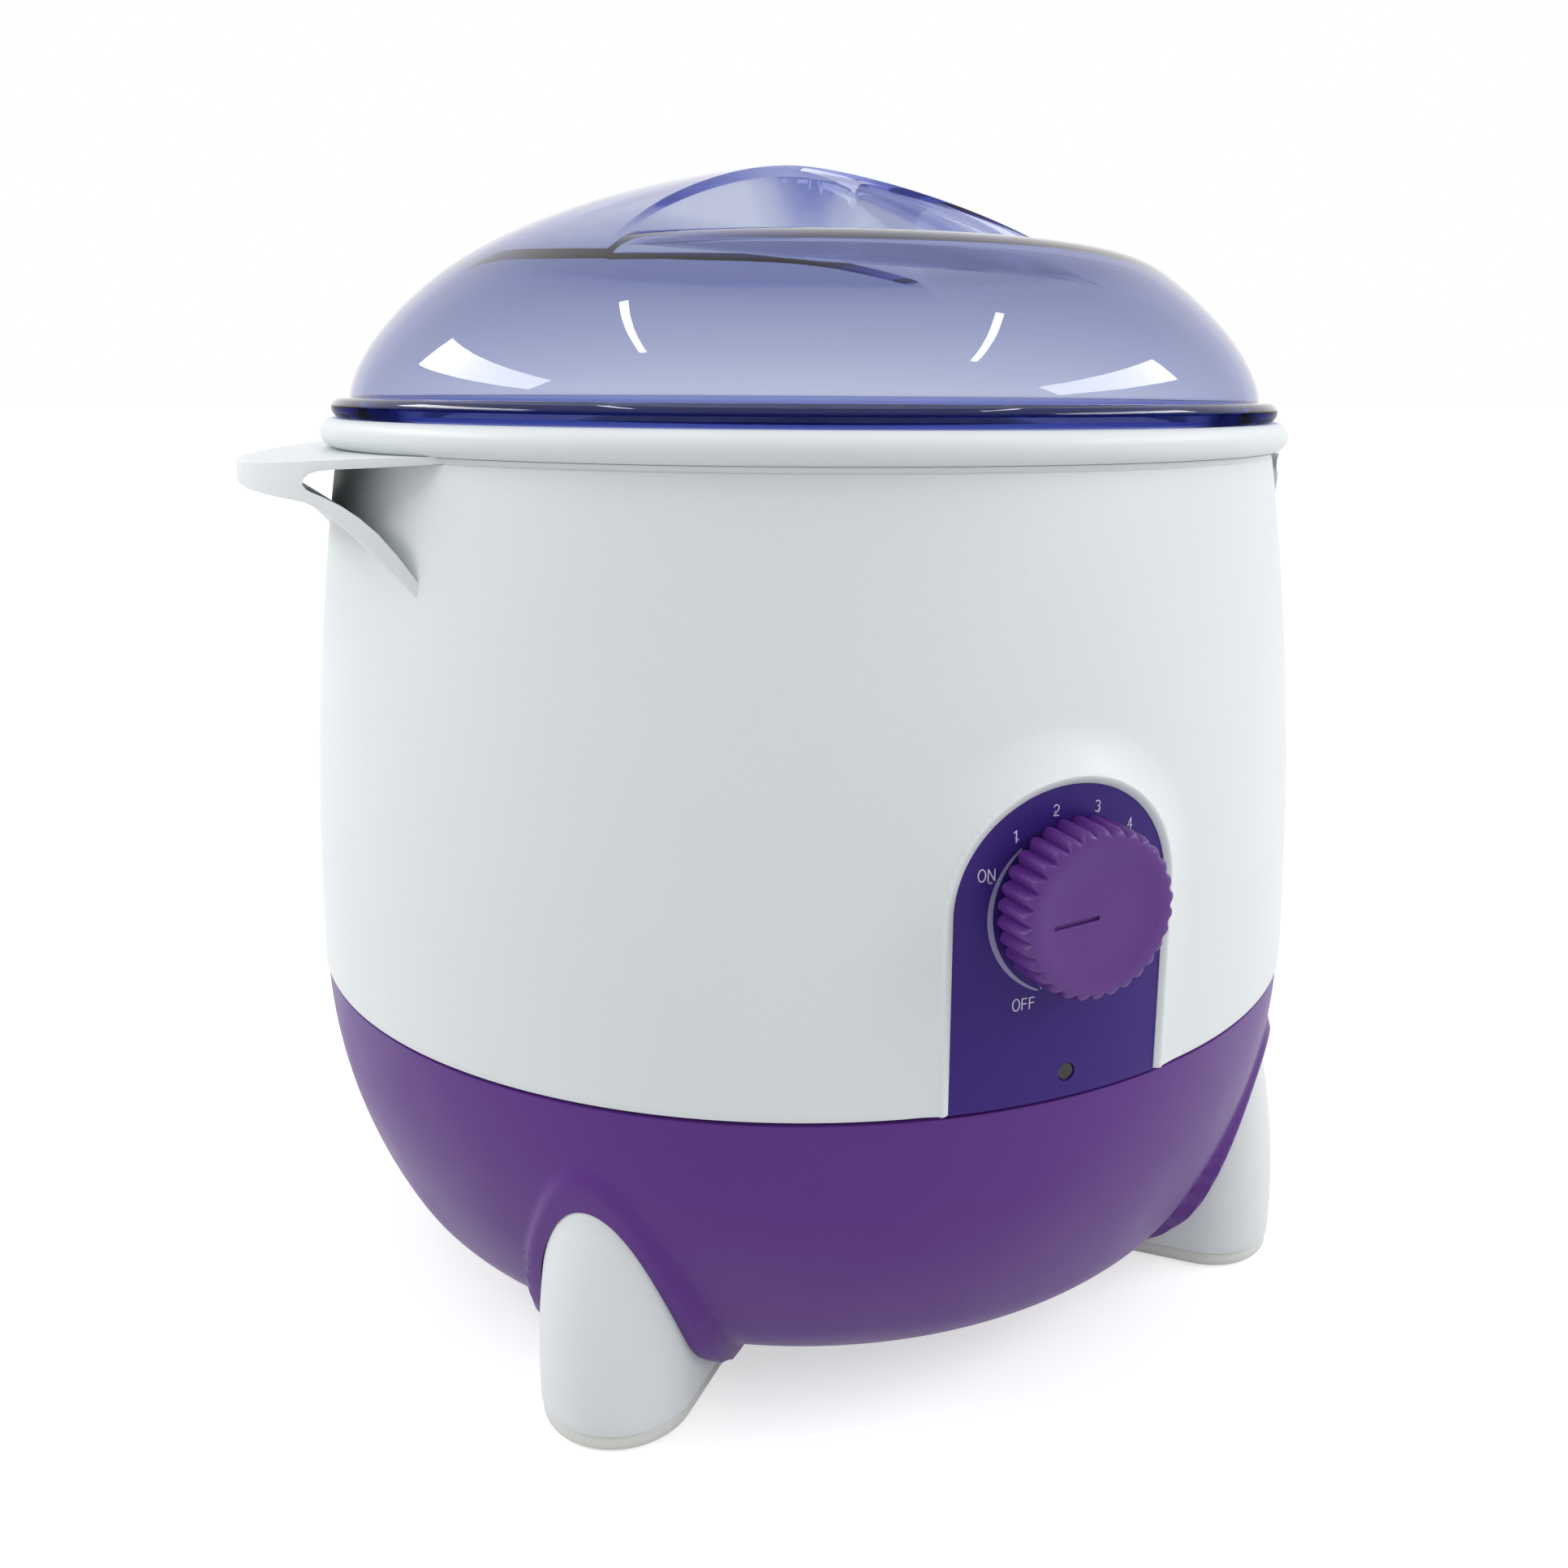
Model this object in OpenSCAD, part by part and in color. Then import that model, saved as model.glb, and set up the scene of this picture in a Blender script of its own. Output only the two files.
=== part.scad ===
// Wax warmer: a round white housing on a purple bowl with four legs, a lift-out
// aluminium pot in a heated well, a tinted lid and a dial on the front.
// Millimetres. The origin is on the table under the centre, +Z is up and the dial faces -Y.

/* [Housing] */
// Inner radius of the lift-out pot, which sets the width of the whole warmer
pot_r = 78.3; // [74:0.1:84]
// Height of the seam between the wall and the bowl above the table
seam_z = 68; // [66:1:72]
// How much taller the white wall is than the pot is deep
wall_over = 11.2; // [10:0.1:14]
// Radius of the arc by which the wall leans in towards the top
wall_bow = 640; // [600:10:800]
// Thickness of the moulded shells
shell_t = 2.6; // [2:0.1:3]
// Width of the ring's rim, from the wall's top edge in to its throat
rim_w = 5.48; // [5:0.02:6]
// How far the small flange at the top edge stands out of the wall
edge_out = 1.2; // [0.8:0.1:1.6]

/* [Top ring] */
// Radius of the round bead that covers the top edge
bead_r = 2.9; // [2.6:0.1:3.2]
// Height of the flat land that the lid rests on, above the wall's top edge
land_h = 5.1; // [4.7:0.1:5.4]
// Width of the shelf that carries the well
shelf_w = 8; // [7:0.5:9]
// Depth of the shelf below the ring's land
shelf_drop = 7.8; // [7:0.2:9]

/* [Ears] */
// How far each ear reaches out of the wall
ear_reach = 18.8; // [17:0.2:22]
// Radius of the ear's round outline seen from above
ear_plan_r = 51; // [48:1:56]
// Thickness of the ear's upper plate
ear_plate_t = 2.5; // [2.2:0.1:2.7]
// Height of the ear's blunt tip
ear_tip_h = 5.2; // [5:0.1:5.6]

/* [Bowl and legs] */
// Radius of the bowl's side arc
bowl_r = 104; // [98:1:112]
// Angle over which the side arc runs before the bottom corner
bowl_turn = 28; // [27:0.5:30]
// Radius of the bottom corner
corner_r = 25; // [22:1:27]
// Distance from the seam in to the centre of a leg's round outer end
leg_inset = 12.6; // [12:0.1:13.4]
// Radius of that round end, which is half the leg's width
leg_r = 14.9; // [14.5:0.1:15.3]
// Distance from there in to the centre of the leg's round inner end
leg_run = 14; // [12:0.5:16]
// Height of a leg's top above the table
leg_top = 50; // [48:1:52]
// Height above the table at which a leg is widest
leg_wide_z = 9; // [7:0.5:12]
// How much a leg narrows over its own height away from there
leg_belly = 7.5; // [7:0.1:8]
// Thickness of a foot pad
pad_t = 3.4; // [3:0.2:4]
// Thickness of the collar round each leg
collar_t = 6.4; // [5.6:0.2:7]
// How far the collar stands out of the bowl
collar_out = 2.6; // [2:0.2:3]
// Height of the collar's lower edge above the table
collar_z = 7; // [6.6:0.2:8]
// Distance of the leg screws from the centre of the leg's outer end
leg_screw_in = 4.4; // [4:0.1:4.8]

/* [Lid] */
// Height of the dome above its flange
dome_h = 49; // [46:1:54]
// Thickness of the lid
lid_t = 2.2; // [1.8:0.1:2.6]
// Radius of the bead round the lid's flange
lid_bead_r = 2.1; // [1.9:0.1:2.2]
// Depth of the skirt that centres the lid in the ring
skirt_h = 4.4; // [4:0.2:4.8]
// Height above the flange at which the two finger recesses cut the dome
recess_h = 29.8; // [28:0.2:31]
// Rise of the recess floor towards the middle
recess_crown = 2; // [1:0.2:3]
// Half width of the grip ridge at its waist
ridge_w = 4.6; // [4.2:0.1:6]
// Widening of the ridge for each millimetre along it
ridge_flare = 0.39; // [0.36:0.01:0.42]
// Angle by which the lid is turned on the ring
lid_turn = 17.5; // [0:0.5:30]

/* [Pot and well] */
// Inner depth of the pot
pot_d = 98; // [94:1:100]
// Wall of the pot
pot_t = 1.2; // [1:0.1:1.5]
// Width of the pot's lip
pot_lip_w = 8.5; // [8:0.5:9]
// Wall of the heated well
well_t = 1.5; // [1.2:0.1:1.8]
// Gap between the pot and the well
pot_gap = 0.8; // [0.5:0.1:1]
// Gap under the pot's bottom
pot_foot_gap = 0.4; // [0.3:0.1:0.8]
// Thickness of the silicone gasket under the well's flange
gasket_t = 1; // [0.8:0.1:1.4]
// Thickness of the felt round the well
felt_t = 3; // [2.5:0.1:3.4]

/* [Heater] */
// Radius of the heating element's ring, as a part of the pot's radius
element_part = 0.61; // [0.56:0.01:0.66]
// Radius of the element's tube
element_r = 3.3; // [3:0.1:3.6]
// Distance from the element's middle out to the edge of the clamp plate
clamp_w = 10; // [8:1:14]
// Thickness of the clamp plate and of the heat shield
plate_t = 1.5; // [1.2:0.1:1.8]
// Distance from the pot's wall in to the edge of the heat shield
shield_inset = 6; // [4:1:10]
// Height of the heat shield above the legs' tops
shield_over = 5.5; // [4.5:0.5:7]
// Distance from the element's middle in to the studs and posts
stud_in = 12; // [10:1:14]

/* [Dial] */
// Half width of the dial plate, measured round the body
plate_w = 21.7; // [21:0.1:22.4]
// Height of the dial's centre above the seam
dial_h = 36.7; // [36:0.1:38]
// Thickness of the dial plate
dial_plate_t = 1.3; // [1:0.1:1.5]
// Width of the raised rim round the dial plate
bezel_w = 1.4; // [1.2:0.1:2]
// How far that rim stands proud of the plate
bezel_out = 0.7; // [0.5:0.1:1]
// Radius of the knob over its ribs
knob_r = 15.2; // [14.4:0.1:15.6]
// Length of the knob
knob_l = 8.6; // [8:0.1:9.4]
// Gap between the knob and the plate
knob_gap = 1.1; // [0.8:0.1:1.4]
// Number of ribs on the knob
knob_ribs = 30; // [24:1:36]
// Radius of the thermostat's shaft
shaft_r = 3; // [2.8:0.1:3.2]
// Radius of the signal lamp
lamp_r = 1.5; // [1.4:0.1:1.7]
// Height of the lamp above the seam
lamp_h = 4.6; // [4.4:0.1:5]

/* [Cord inlet] */
// Height of the inlet above the table
inlet_z = 42; // [40:1:44]
// Radius of the inlet bush
inlet_r = 6.5; // [6:0.1:7]
// Radius of the hole for the cord
inlet_bore_r = 3.4; // [3:0.1:3.8]

/* [Clearances] */
// Side gap between fitted mouldings
fit_gap = 0.25; // [0.2:0.05:0.35]
// Radial gap of the turning shaft in its bush
run_gap = 0.05; // [0.03:0.01:0.08]
// Side gap of screws in their holes
screw_gap = 0.2; // [0.15:0.05:0.3]

/* [Hidden] */
$fn = 96;
far = 200;
eps = 0.01;

white = [0.84, 0.86, 0.87];
purple = [0.35, 0.22, 0.50];
indigo = [0.24, 0.16, 0.45];
knob_purple = [0.38, 0.24, 0.52];
tinted = [0.46, 0.49, 0.68, 0.5];
aluminium = [0.78, 0.79, 0.80];
steel = [0.62, 0.63, 0.65];
brown = [0.42, 0.27, 0.16];
dark = [0.15, 0.15, 0.17];

// Housing and ring levels
wall_h = pot_d + wall_over;
throat_r = pot_r + pot_t + pot_lip_w + 7.2;
edge_r = throat_r + rim_w;
seam_r = edge_r + wall_h * wall_h / (2 * wall_bow);
wall_top = seam_z + wall_h;
function wall_at(z) = seam_r - pow(z - seam_z, 2) / (2 * wall_bow);
land_z = wall_top + land_h;
bead_at = edge_r + edge_out + 2 - bead_r;
shelf_z = land_z - shelf_drop;
ring_skirt_h = 12;

// Pot and well levels, hung from the shelf
well_r = pot_r + pot_t + pot_gap + well_t;
well_flange_z = shelf_z + gasket_t;
pot_lip_z = well_flange_z + well_t;
pot_bottom_z = pot_lip_z + pot_t - pot_d - pot_t;
well_floor_z = pot_bottom_z - pot_foot_gap;
well_under_z = well_floor_z - well_t;
element_z = well_under_z - element_r;
clamp_z = element_z - element_r - plate_t;

// Heater, tied to the pot
element_at = element_part * pot_r;
clamp_r = element_at + clamp_w;
stud_at = element_at - stud_in;
shield_r = pot_r - shield_inset;
shield_z = leg_top + shield_over;
shield_lip = 9;
shield_screw_l = 10;
shield_post_r = 4;
nut_r = 4;
nut_h = 3.2;
stud_r = 1.9;
terminal_r = 1.6;
terminal_gap = 7;
cutout_r = 8;
cutout_h = 8;
cutout_rim_r = 11;
tab_w = 6;
tab_l = 7;

// Lid
dome_r = throat_r + lid_t + 0.3;
flange_z = land_z + 2 * lid_bead_r;
apex_z = flange_z + dome_h;
recess_z = flange_z + recess_h;

// Bowl and legs
leg_at = seam_r - leg_inset;
spigot_r = 4.3;
spigot_h = 4.6;
leg_screw_grip = 18;
leg_screw_at = leg_at - leg_screw_in;
base_r = seam_r - 0.4;
side_c = [base_r - bowl_r, seam_z];
corner_c = side_c + (bowl_r - corner_r) * [cos(bowl_turn), -sin(bowl_turn)];
bowl_z = corner_c[1] - corner_r;
floor_z = bowl_z + shell_t;
leg_angles = [-45, 45, 135, -135];
leg_levels = 10;
slab_inset = 0.15;
pad_inset = 0.2;

// Dial
dial_z = seam_z + dial_h;
plate_face_r = seam_r + 0.1;
plate_back_r = plate_face_r - dial_plate_t;
boss_back_r = wall_at(dial_z + plate_w) - shell_t - 1;
knob_back = plate_face_r + knob_gap;
knob_face = knob_back + knob_l;
lamp_z = seam_z + lamp_h;
lamp_x = 1;
bracket_y = plate_face_r - 10.6;
front_in = plate_face_r - 20;
front_out = plate_face_r + 20;
bracket_t = 1.5;
bracket_h = 18;
bracket_screw_l = 6;
sensor_w = 18;
thermostat_d = 12;
thermostat_w = 24;
thermostat_h = 28;
bracket_hole_x = 19;
bush_r = 4.6;

// Screw posts
post_r = 4.6;
screw_r = 1.75;
leg_post_z = leg_top + shell_t;
leg_ceiling_z = leg_top - 8;

// ---- outlines -------------------------------------------------------------

// Points of an arc about c, with angles measured down from the +X direction
function arc(c, r, a0, a1, n) =
  [for (i = [0:n]) let (a = a0 + (a1 - a0) * i / n) c + r * [cos(a), -sin(a)]];

// The bowl's outline moved outwards by d, from the seam down to the axis
function bowl_line(d) = concat(
  [[0, seam_z], [base_r + d, seam_z]],
  arc(side_c, bowl_r + d, 1, bowl_turn, 12),
  arc(corner_c, corner_r + d, bowl_turn + 5, 90, 10),
  [[0, bowl_z - d]]);

// The wall's outline moved outwards by d, as a closed solid down to z0
function wall_line(d, z0, z1) = concat(
  [[0, z0]],
  [for (i = [0:16]) let (z = z0 + (z1 - z0) * i / 16) [wall_at(max(z, seam_z)) + d, z]],
  [[0, z1]]);

// Radius of a leg's round outer end at a height
function leg_r_at(z) = leg_r - pow((z - leg_wide_z) / leg_top, 2) * leg_belly;

// Half width of the lid's grip ridge at a distance u along it
function ridge_at(u) = sqrt(pow(ridge_w, 2) + pow(ridge_flare * u, 2));

// Dome outline with radius r and height h above the flange
function dome_line(r, h, z0) =
  [for (i = [0:22]) let (u = r * cos(90 * i / 22)) [u, z0 + h * pow(1 - pow(u / r, 2), 0.647)]];

module turned(points) { rotate_extrude() polygon(points); }
module tube(r_out, r_in, z0, z1) {
  translate([0, 0, z0]) difference() {
    cylinder(r = r_out, h = z1 - z0);
    translate([0, 0, -1]) cylinder(r = r_in, h = z1 - z0 + 2);
  }
}
// A cylinder along the front direction, from y0 back to y1, both given as distances in front
module front_rod(r, y0, y1, x = 0, z = 0) {
  translate([x, -y1, z]) rotate([-90, 0, 0]) cylinder(r = r, h = y1 - y0);
}
// The dial plate's arched outline grown by d, as a block through the front wall
module arch_block(d, y0, y1) {
  translate([0, -y0, 0]) rotate([90, 0, 0]) linear_extrude(height = y1 - y0) union() {
    translate([0, dial_z]) circle(r = plate_w + d);
    translate([-plate_w - d, seam_z]) square([2 * (plate_w + d), dial_h]);
  }
}
module at_legs() {
  for (a = leg_angles) rotate([0, 0, a]) children();
}
// A leg's outline in plan with the end radius r, as an upright block
module leg_prism(r, z0, z1) {
  translate([leg_at, 0, z0]) linear_extrude(height = z1 - z0) union() {
    circle(r = r);
    translate([-leg_run, 0]) circle(r = r);
    translate([-leg_run, -r]) square([leg_run, 2 * r]);
  }
}
// A leg's tapering shape grown by d: two barrel-shaped ends and the slab between them
module leg_body(d, z0, z1, widest) {
  side = [for (i = [0:leg_levels])
    let (z = z0 + (z1 - z0) * i / leg_levels) [leg_r_at(max(z, widest)) + d, z]];
  slab = [for (p = side) [p[0] - slab_inset, p[1]]];
  for (x = [leg_at - leg_run, leg_at]) translate([x, 0, 0])
    turned(concat([[0, z0]], side, [[0, z1]]));
  translate([leg_at - leg_run, 0, 0]) rotate([90, 0, 90]) linear_extrude(height = leg_run)
    polygon(concat(slab, [for (i = [leg_levels:-1:0]) [-slab[i][0], slab[i][1]]]));
}
module screw(head_r, head_h, shank_r, length) {
  cylinder(r = head_r, h = head_h, $fn = 48);
  cylinder(r = shank_r, h = length, $fn = 48);
}

// ---- housing ----------------------------------------------------------------

ear_tip_x = wall_at(wall_top - 4) + ear_reach;
ear_top_z = wall_top - 2.4;
// Points are inward distances from the tip and drops below the ear's top edge
ear_outer = [[0, ear_tip_h - 1.6], [0, 1.2], [1.6, 0], [10, -1], [20, -1.8], [38, -2.4], [38, 40],
  [29.6, 27.8], [25.6, 22.4], [22, 18], [18.6, 14], [15.2, 10.4], [11.6, 7.4], [9.2, 6.3],
  [4, ear_tip_h + 0.3], [1.4, ear_tip_h - 0.2]];
function ear_roof(d) = ear_plate_t - 1 - (d - 10) * 0.08;
ear_gap = [[10.2, 2.6], [11.6, ear_roof(11.6)], [20, ear_roof(20)], [38, ear_roof(38)], [38, 36.4],
  [30.6, 24.6], [26, 18.8], [22.8, 14.6], [20.2, 11.2], [17.5, 8.3], [15, 6.4], [12, 4.9],
  [10.5, 3.9]];
module ear_shape(points) {
  rotate([90, 0, 0]) linear_extrude(height = 2 * ear_plan_r, center = true)
    polygon([for (p = points) [ear_tip_x - p[0], ear_top_z - p[1]]]);
}
module ear() {
  intersection() {
    difference() {
      ear_shape(ear_outer);
      ear_shape(ear_gap);
    }
    translate([ear_tip_x - ear_plan_r, 0, seam_z]) cylinder(r = ear_plan_r, h = wall_h + 4);
  }
}
module dial_boss() {
  intersection() {
    arch_block(bezel_w, front_in, front_out);
    tube(plate_face_r + bezel_out, boss_back_r, seam_z, wall_top);
  }
}
module housing_post() {
  translate([leg_screw_at, 0, leg_post_z]) cylinder(r = post_r, h = seam_z + 24 - leg_post_z);
  translate([leg_screw_at, -1, seam_z + 4])
    cube([wall_at(seam_z + 24) - 1 - leg_screw_at, 2, 20]);
}
module bracket_post(x) {
  front_rod(3.6, bracket_y + bracket_t, wall_at(dial_z) - 1, x, dial_z);
}
module outer_housing() {
  color(white) difference() {
    union() {
      difference() {
        union() {
          turned(wall_line(0, seam_z, wall_top));
          translate([0, 0, wall_top - 1.6]) cylinder(r = edge_r + edge_out, h = 1.6);
          ear();
          mirror([1, 0, 0]) ear();
        }
        turned(wall_line(-shell_t, seam_z - 1, wall_top + 1));
        translate([0, 0, wall_top]) cylinder(r = far, h = 10);
      }
      dial_boss();
      at_legs() housing_post();
      for (x = [-1, 1]) bracket_post(x * bracket_hole_x);
    }
    intersection() {
      arch_block(fit_gap, front_in, front_out);
      tube(far, plate_back_r, seam_z - 1, wall_top);
    }
    front_rod(bush_r + 1, front_in, front_out, 0, dial_z);
    front_rod(lamp_r + screw_gap, front_in, front_out, lamp_x, lamp_z);
    at_legs() translate([leg_screw_at, 0, leg_post_z - 1]) cylinder(r = screw_r - 0.35, h = 22, $fn = 48);
    for (x = [-1, 1])
      front_rod(1.1, bracket_y - 1, bracket_y + bracket_screw_l + 2, x * bracket_hole_x, dial_z);
  }
}

// ---- top ring, gasket, well and pot ----------------------------------------

module top_ring() {
  inner_r = throat_r + 0.7;
  shelf_in = inner_r - shelf_w;
  skirt_r = edge_r - shell_t - fit_gap;
  color(white) union() {
    intersection() {
      turned(concat([[inner_r, wall_top]], arc([bead_at, wall_top + bead_r - 0.5], bead_r, 90, -90, 16),
        [[inner_r, land_z + 1]]));
      tube(far, inner_r, wall_top, land_z);
    }
    tube(skirt_r, inner_r, wall_top - ring_skirt_h, wall_top + 1);
    tube(skirt_r, shelf_in, shelf_z - 2.2, shelf_z);
  }
}
module well_gasket() {
  color([0.85, 0.82, 0.78]) tube(throat_r - 1, well_r + 0.4, shelf_z, shelf_z + gasket_t);
}
module heating_well() {
  color(aluminium) union() {
    tube(throat_r - 1, well_r - well_t, well_flange_z, pot_lip_z);
    difference() {
      translate([0, 0, well_under_z]) cylinder(r = well_r, h = pot_lip_z - well_under_z);
      translate([0, 0, well_floor_z]) cylinder(r = well_r - well_t, h = far);
    }
    for (a = [0:120:240]) rotate([0, 0, a + 30]) translate([stud_at, 0, clamp_z - nut_h - 1.2])
      cylinder(r = stud_r, h = well_under_z - clamp_z + nut_h + 1.7, $fn = 48);
  }
}
module wax_pot() {
  color(aluminium) union() {
    tube(pot_r + pot_t + pot_lip_w - 0.6, pot_r, pot_lip_z, pot_lip_z + pot_t);
    difference() {
      translate([0, 0, pot_bottom_z]) cylinder(r = pot_r + pot_t, h = pot_lip_z + pot_t - pot_bottom_z);
      translate([0, 0, pot_bottom_z + pot_t]) cylinder(r = pot_r, h = far);
    }
  }
}
module insulation_felt() {
  color([0.80, 0.78, 0.72]) difference() {
    tube(well_r + fit_gap + felt_t, well_r + fit_gap, well_under_z + 6, shelf_z - 8);
    translate([-sensor_w, -far, dial_z - sensor_w - 2]) cube([2 * sensor_w, far, 2 * sensor_w + 4]);
  }
}

// ---- lid --------------------------------------------------------------------

// The space above a recess floor, lowered by d, in front of the ridge's face moved by d
module recess_block(d) {
  reach = dome_r + 5;
  us = [for (i = [-16:16]) i * reach / 16];
  intersection() {
    linear_extrude(height = apex_z + 20) polygon(concat(
      [for (u = us) [u, -ridge_at(u) + d * 1.07]], [[reach, -reach - 5], [-reach, -reach - 5]]));
    turned([[0, recess_z + recess_crown - d], [reach / 2, recess_z + recess_crown * 0.68 - d],
      [recess_r, recess_z - d], [reach + 20, recess_z - 0.08 * reach - d],
      [reach + 20, apex_z + 10], [0, apex_z + 10]]);
  }
}
recess_r = dome_r * sqrt(1 - pow(recess_h / dome_h, 1 / 0.647));
module dome(d) {
  difference() {
    turned(concat([[0, flange_z - 0.6 * lid_bead_r]], [[dome_r - d, flange_z - 0.6 * lid_bead_r]],
      dome_line(dome_r - d, dome_h - d, flange_z)));
    recess_block(d);
    mirror([0, 1, 0]) recess_block(d);
  }
}
module lid() {
  bead_c = [dome_r + lid_bead_r * 0.8, land_z + lid_bead_r];
  skirt_out = throat_r + 0.7 - 1;
  color(tinted) rotate([0, 0, lid_turn]) union() {
    difference() {
      dome(0);
      dome(lid_t);
      translate([0, 0, land_z - 5]) cylinder(r = dome_r - lid_t, h = flange_z - land_z + 5);
    }
    intersection() {
      turned(concat([[dome_r - lid_t, land_z - 1]],
        arc(bead_c, lid_bead_r + 0.05, 80, -88, 12), [[dome_r - lid_t, flange_z]]));
      tube(far, dome_r - lid_t, land_z, flange_z + 1);
    }
    tube(skirt_out, skirt_out - lid_t, land_z - skirt_h, flange_z - 1);
    tube(dome_r - lid_t + 0.5, skirt_out - lid_t, land_z + 0.8, flange_z - 1);
  }
}

// ---- heater -----------------------------------------------------------------

module heating_element() {
  color(steel) union() {
    translate([0, 0, element_z]) rotate_extrude() translate([element_at, 0])
      circle(r = element_r - 0.05, $fn = 48);
    for (x = [-1, 1]) translate([x * terminal_gap, element_at, clamp_z - terminal_gap])
      cylinder(r = terminal_r, h = terminal_gap + plate_t + 1, $fn = 48);
  }
}
module element_clamp_plate() {
  color(aluminium) difference() {
    tube(clamp_r, 2 * cutout_r, clamp_z, clamp_z + plate_t);
    for (a = [0:120:240]) rotate([0, 0, a + 30]) translate([stud_at, 0, clamp_z - 1])
      cylinder(r = stud_r + screw_gap, h = plate_t + 2, $fn = 48);
    translate([-terminal_gap - 5, element_at - 4, clamp_z - 1])
      cube([2 * terminal_gap + 10, far, plate_t + 2]);
  }
}
module clamp_nuts() {
  color(steel) for (a = [0:120:240]) rotate([0, 0, a + 30]) translate([stud_at, 0, clamp_z - nut_h])
    difference() {
      cylinder(r = nut_r, h = nut_h, $fn = 6);
      translate([0, 0, -1]) cylinder(r = stud_r + run_gap, h = nut_h + 3, $fn = 48);
    }
}
module thermal_cutout() {
  color(dark) union() {
    translate([0, 0, well_under_z - cutout_h]) cylinder(r = cutout_r, h = cutout_h);
    translate([0, 0, well_under_z - 1]) cylinder(r = cutout_rim_r, h = 1);
    for (x = [-1, 1]) translate([0.62 * cutout_r * x - 0.4, -tab_w / 2, well_under_z - cutout_h - tab_l])
      cube([0.8, tab_w, tab_l + 1]);
  }
}
module heat_shield() {
  color(steel) difference() {
    union() {
      translate([0, 0, shield_z]) cylinder(r = shield_r, h = 1);
      tube(shield_r, shield_r - 1, shield_z, shield_z + shield_lip);
    }
    for (a = [0:120:240]) rotate([0, 0, a + 90]) translate([stud_at, 0, shield_z - 1])
      cylinder(r = 1.6 + screw_gap, h = 4, $fn = 48);
    for (x = [-1, 1]) translate([x * 18, element_at, shield_z - 1]) cylinder(r = 4, h = 4);
  }
}
module shield_screws() {
  color(steel) for (a = [0:120:240]) rotate([0, 0, a + 90]) translate([stud_at, 0, shield_z + 3])
    mirror([0, 0, 1]) screw(3, 2, 1.6, shield_screw_l);
}

// ---- bowl, legs and feet ----------------------------------------------------

module leg_socket(d, z0, z1, out) {
  intersection() {
    leg_prism(leg_r + d, z0, z1);
    turned(concat([[0, 0]], [for (p = bowl_line(out)) if (p[0] > 0) p], [[0, seam_z]]));
  }
}
module base_shell() {
  tongue_r = seam_r - shell_t - fit_gap;
  color(purple) difference() {
    union() {
      difference() {
        turned(bowl_line(0));
        turned(concat([[0, seam_z + 1], [base_r - shell_t, seam_z + 1]],
          [for (p = bowl_line(-shell_t)) if (p[1] < seam_z - eps) p]));
      }
      difference() {
        tube(tongue_r, tongue_r - 2, seam_z - 9, seam_z + 3);
        translate([-plate_w - 3, -far, seam_z - eps]) cube([2 * plate_w + 6, far, 10]);
      }
      at_legs() {
        leg_socket(collar_t, collar_z, leg_top + 2, collar_out);
        leg_socket(shell_t, collar_z, leg_top + shell_t, 0);
      }
      for (a = [0:120:240]) rotate([0, 0, a + 90]) translate([stud_at, 0, floor_z - 1])
        cylinder(r = shield_post_r, h = shield_z - floor_z + 1);
      translate([0, base_r - shell_t - 4, inlet_z]) rotate([-90, 0, 0]) cylinder(r = inlet_r + 3, h = 5);
    }
    tube(far, base_r - 0.8, seam_z - 0.7, seam_z + 1);
    at_legs() {
      leg_body(fit_gap, -1, leg_top, leg_wide_z);
      translate([leg_screw_at, 0, leg_top - 1]) cylinder(r = screw_r + screw_gap, h = 8, $fn = 48);
    }
    for (a = [0:120:240]) rotate([0, 0, a + 90]) translate([stud_at, 0, shield_z - shield_screw_l - 2])
      cylinder(r = 1.65, h = shield_screw_l + 4, $fn = 48);
    translate([0, base_r - 20, inlet_z]) rotate([-90, 0, 0]) cylinder(r = inlet_r + 0.1, h = 40);
  }
}
module leg() {
  color(white) difference() {
    leg_body(0, pad_t, leg_top - 0.3, 0);
    translate([leg_screw_at, 0, -1]) {
      cylinder(r = spigot_r + 0.1, h = leg_ceiling_z + 1);
      cylinder(r = screw_r + screw_gap, h = far, $fn = 48);
    }
  }
}
module foot_pad() {
  color([0.80, 0.80, 0.77]) union() {
    leg_prism(leg_r_at(0) - pad_inset, 0, pad_t);
    translate([leg_screw_at, 0, 1]) cylinder(r = spigot_r, h = pad_t + spigot_h - 1);
  }
}
module leg_screws() {
  color(steel) at_legs() translate([leg_screw_at, 0, leg_ceiling_z]) mirror([0, 0, 1]) {
    cylinder(r = 3.6, h = 2.6, $fn = 48);
  }
  color(steel) at_legs() translate([leg_screw_at, 0, leg_ceiling_z - 0.5])
    cylinder(r = screw_r - 0.4, h = leg_post_z + leg_screw_grip - leg_ceiling_z, $fn = 48);
}

// ---- dial -------------------------------------------------------------------

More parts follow.
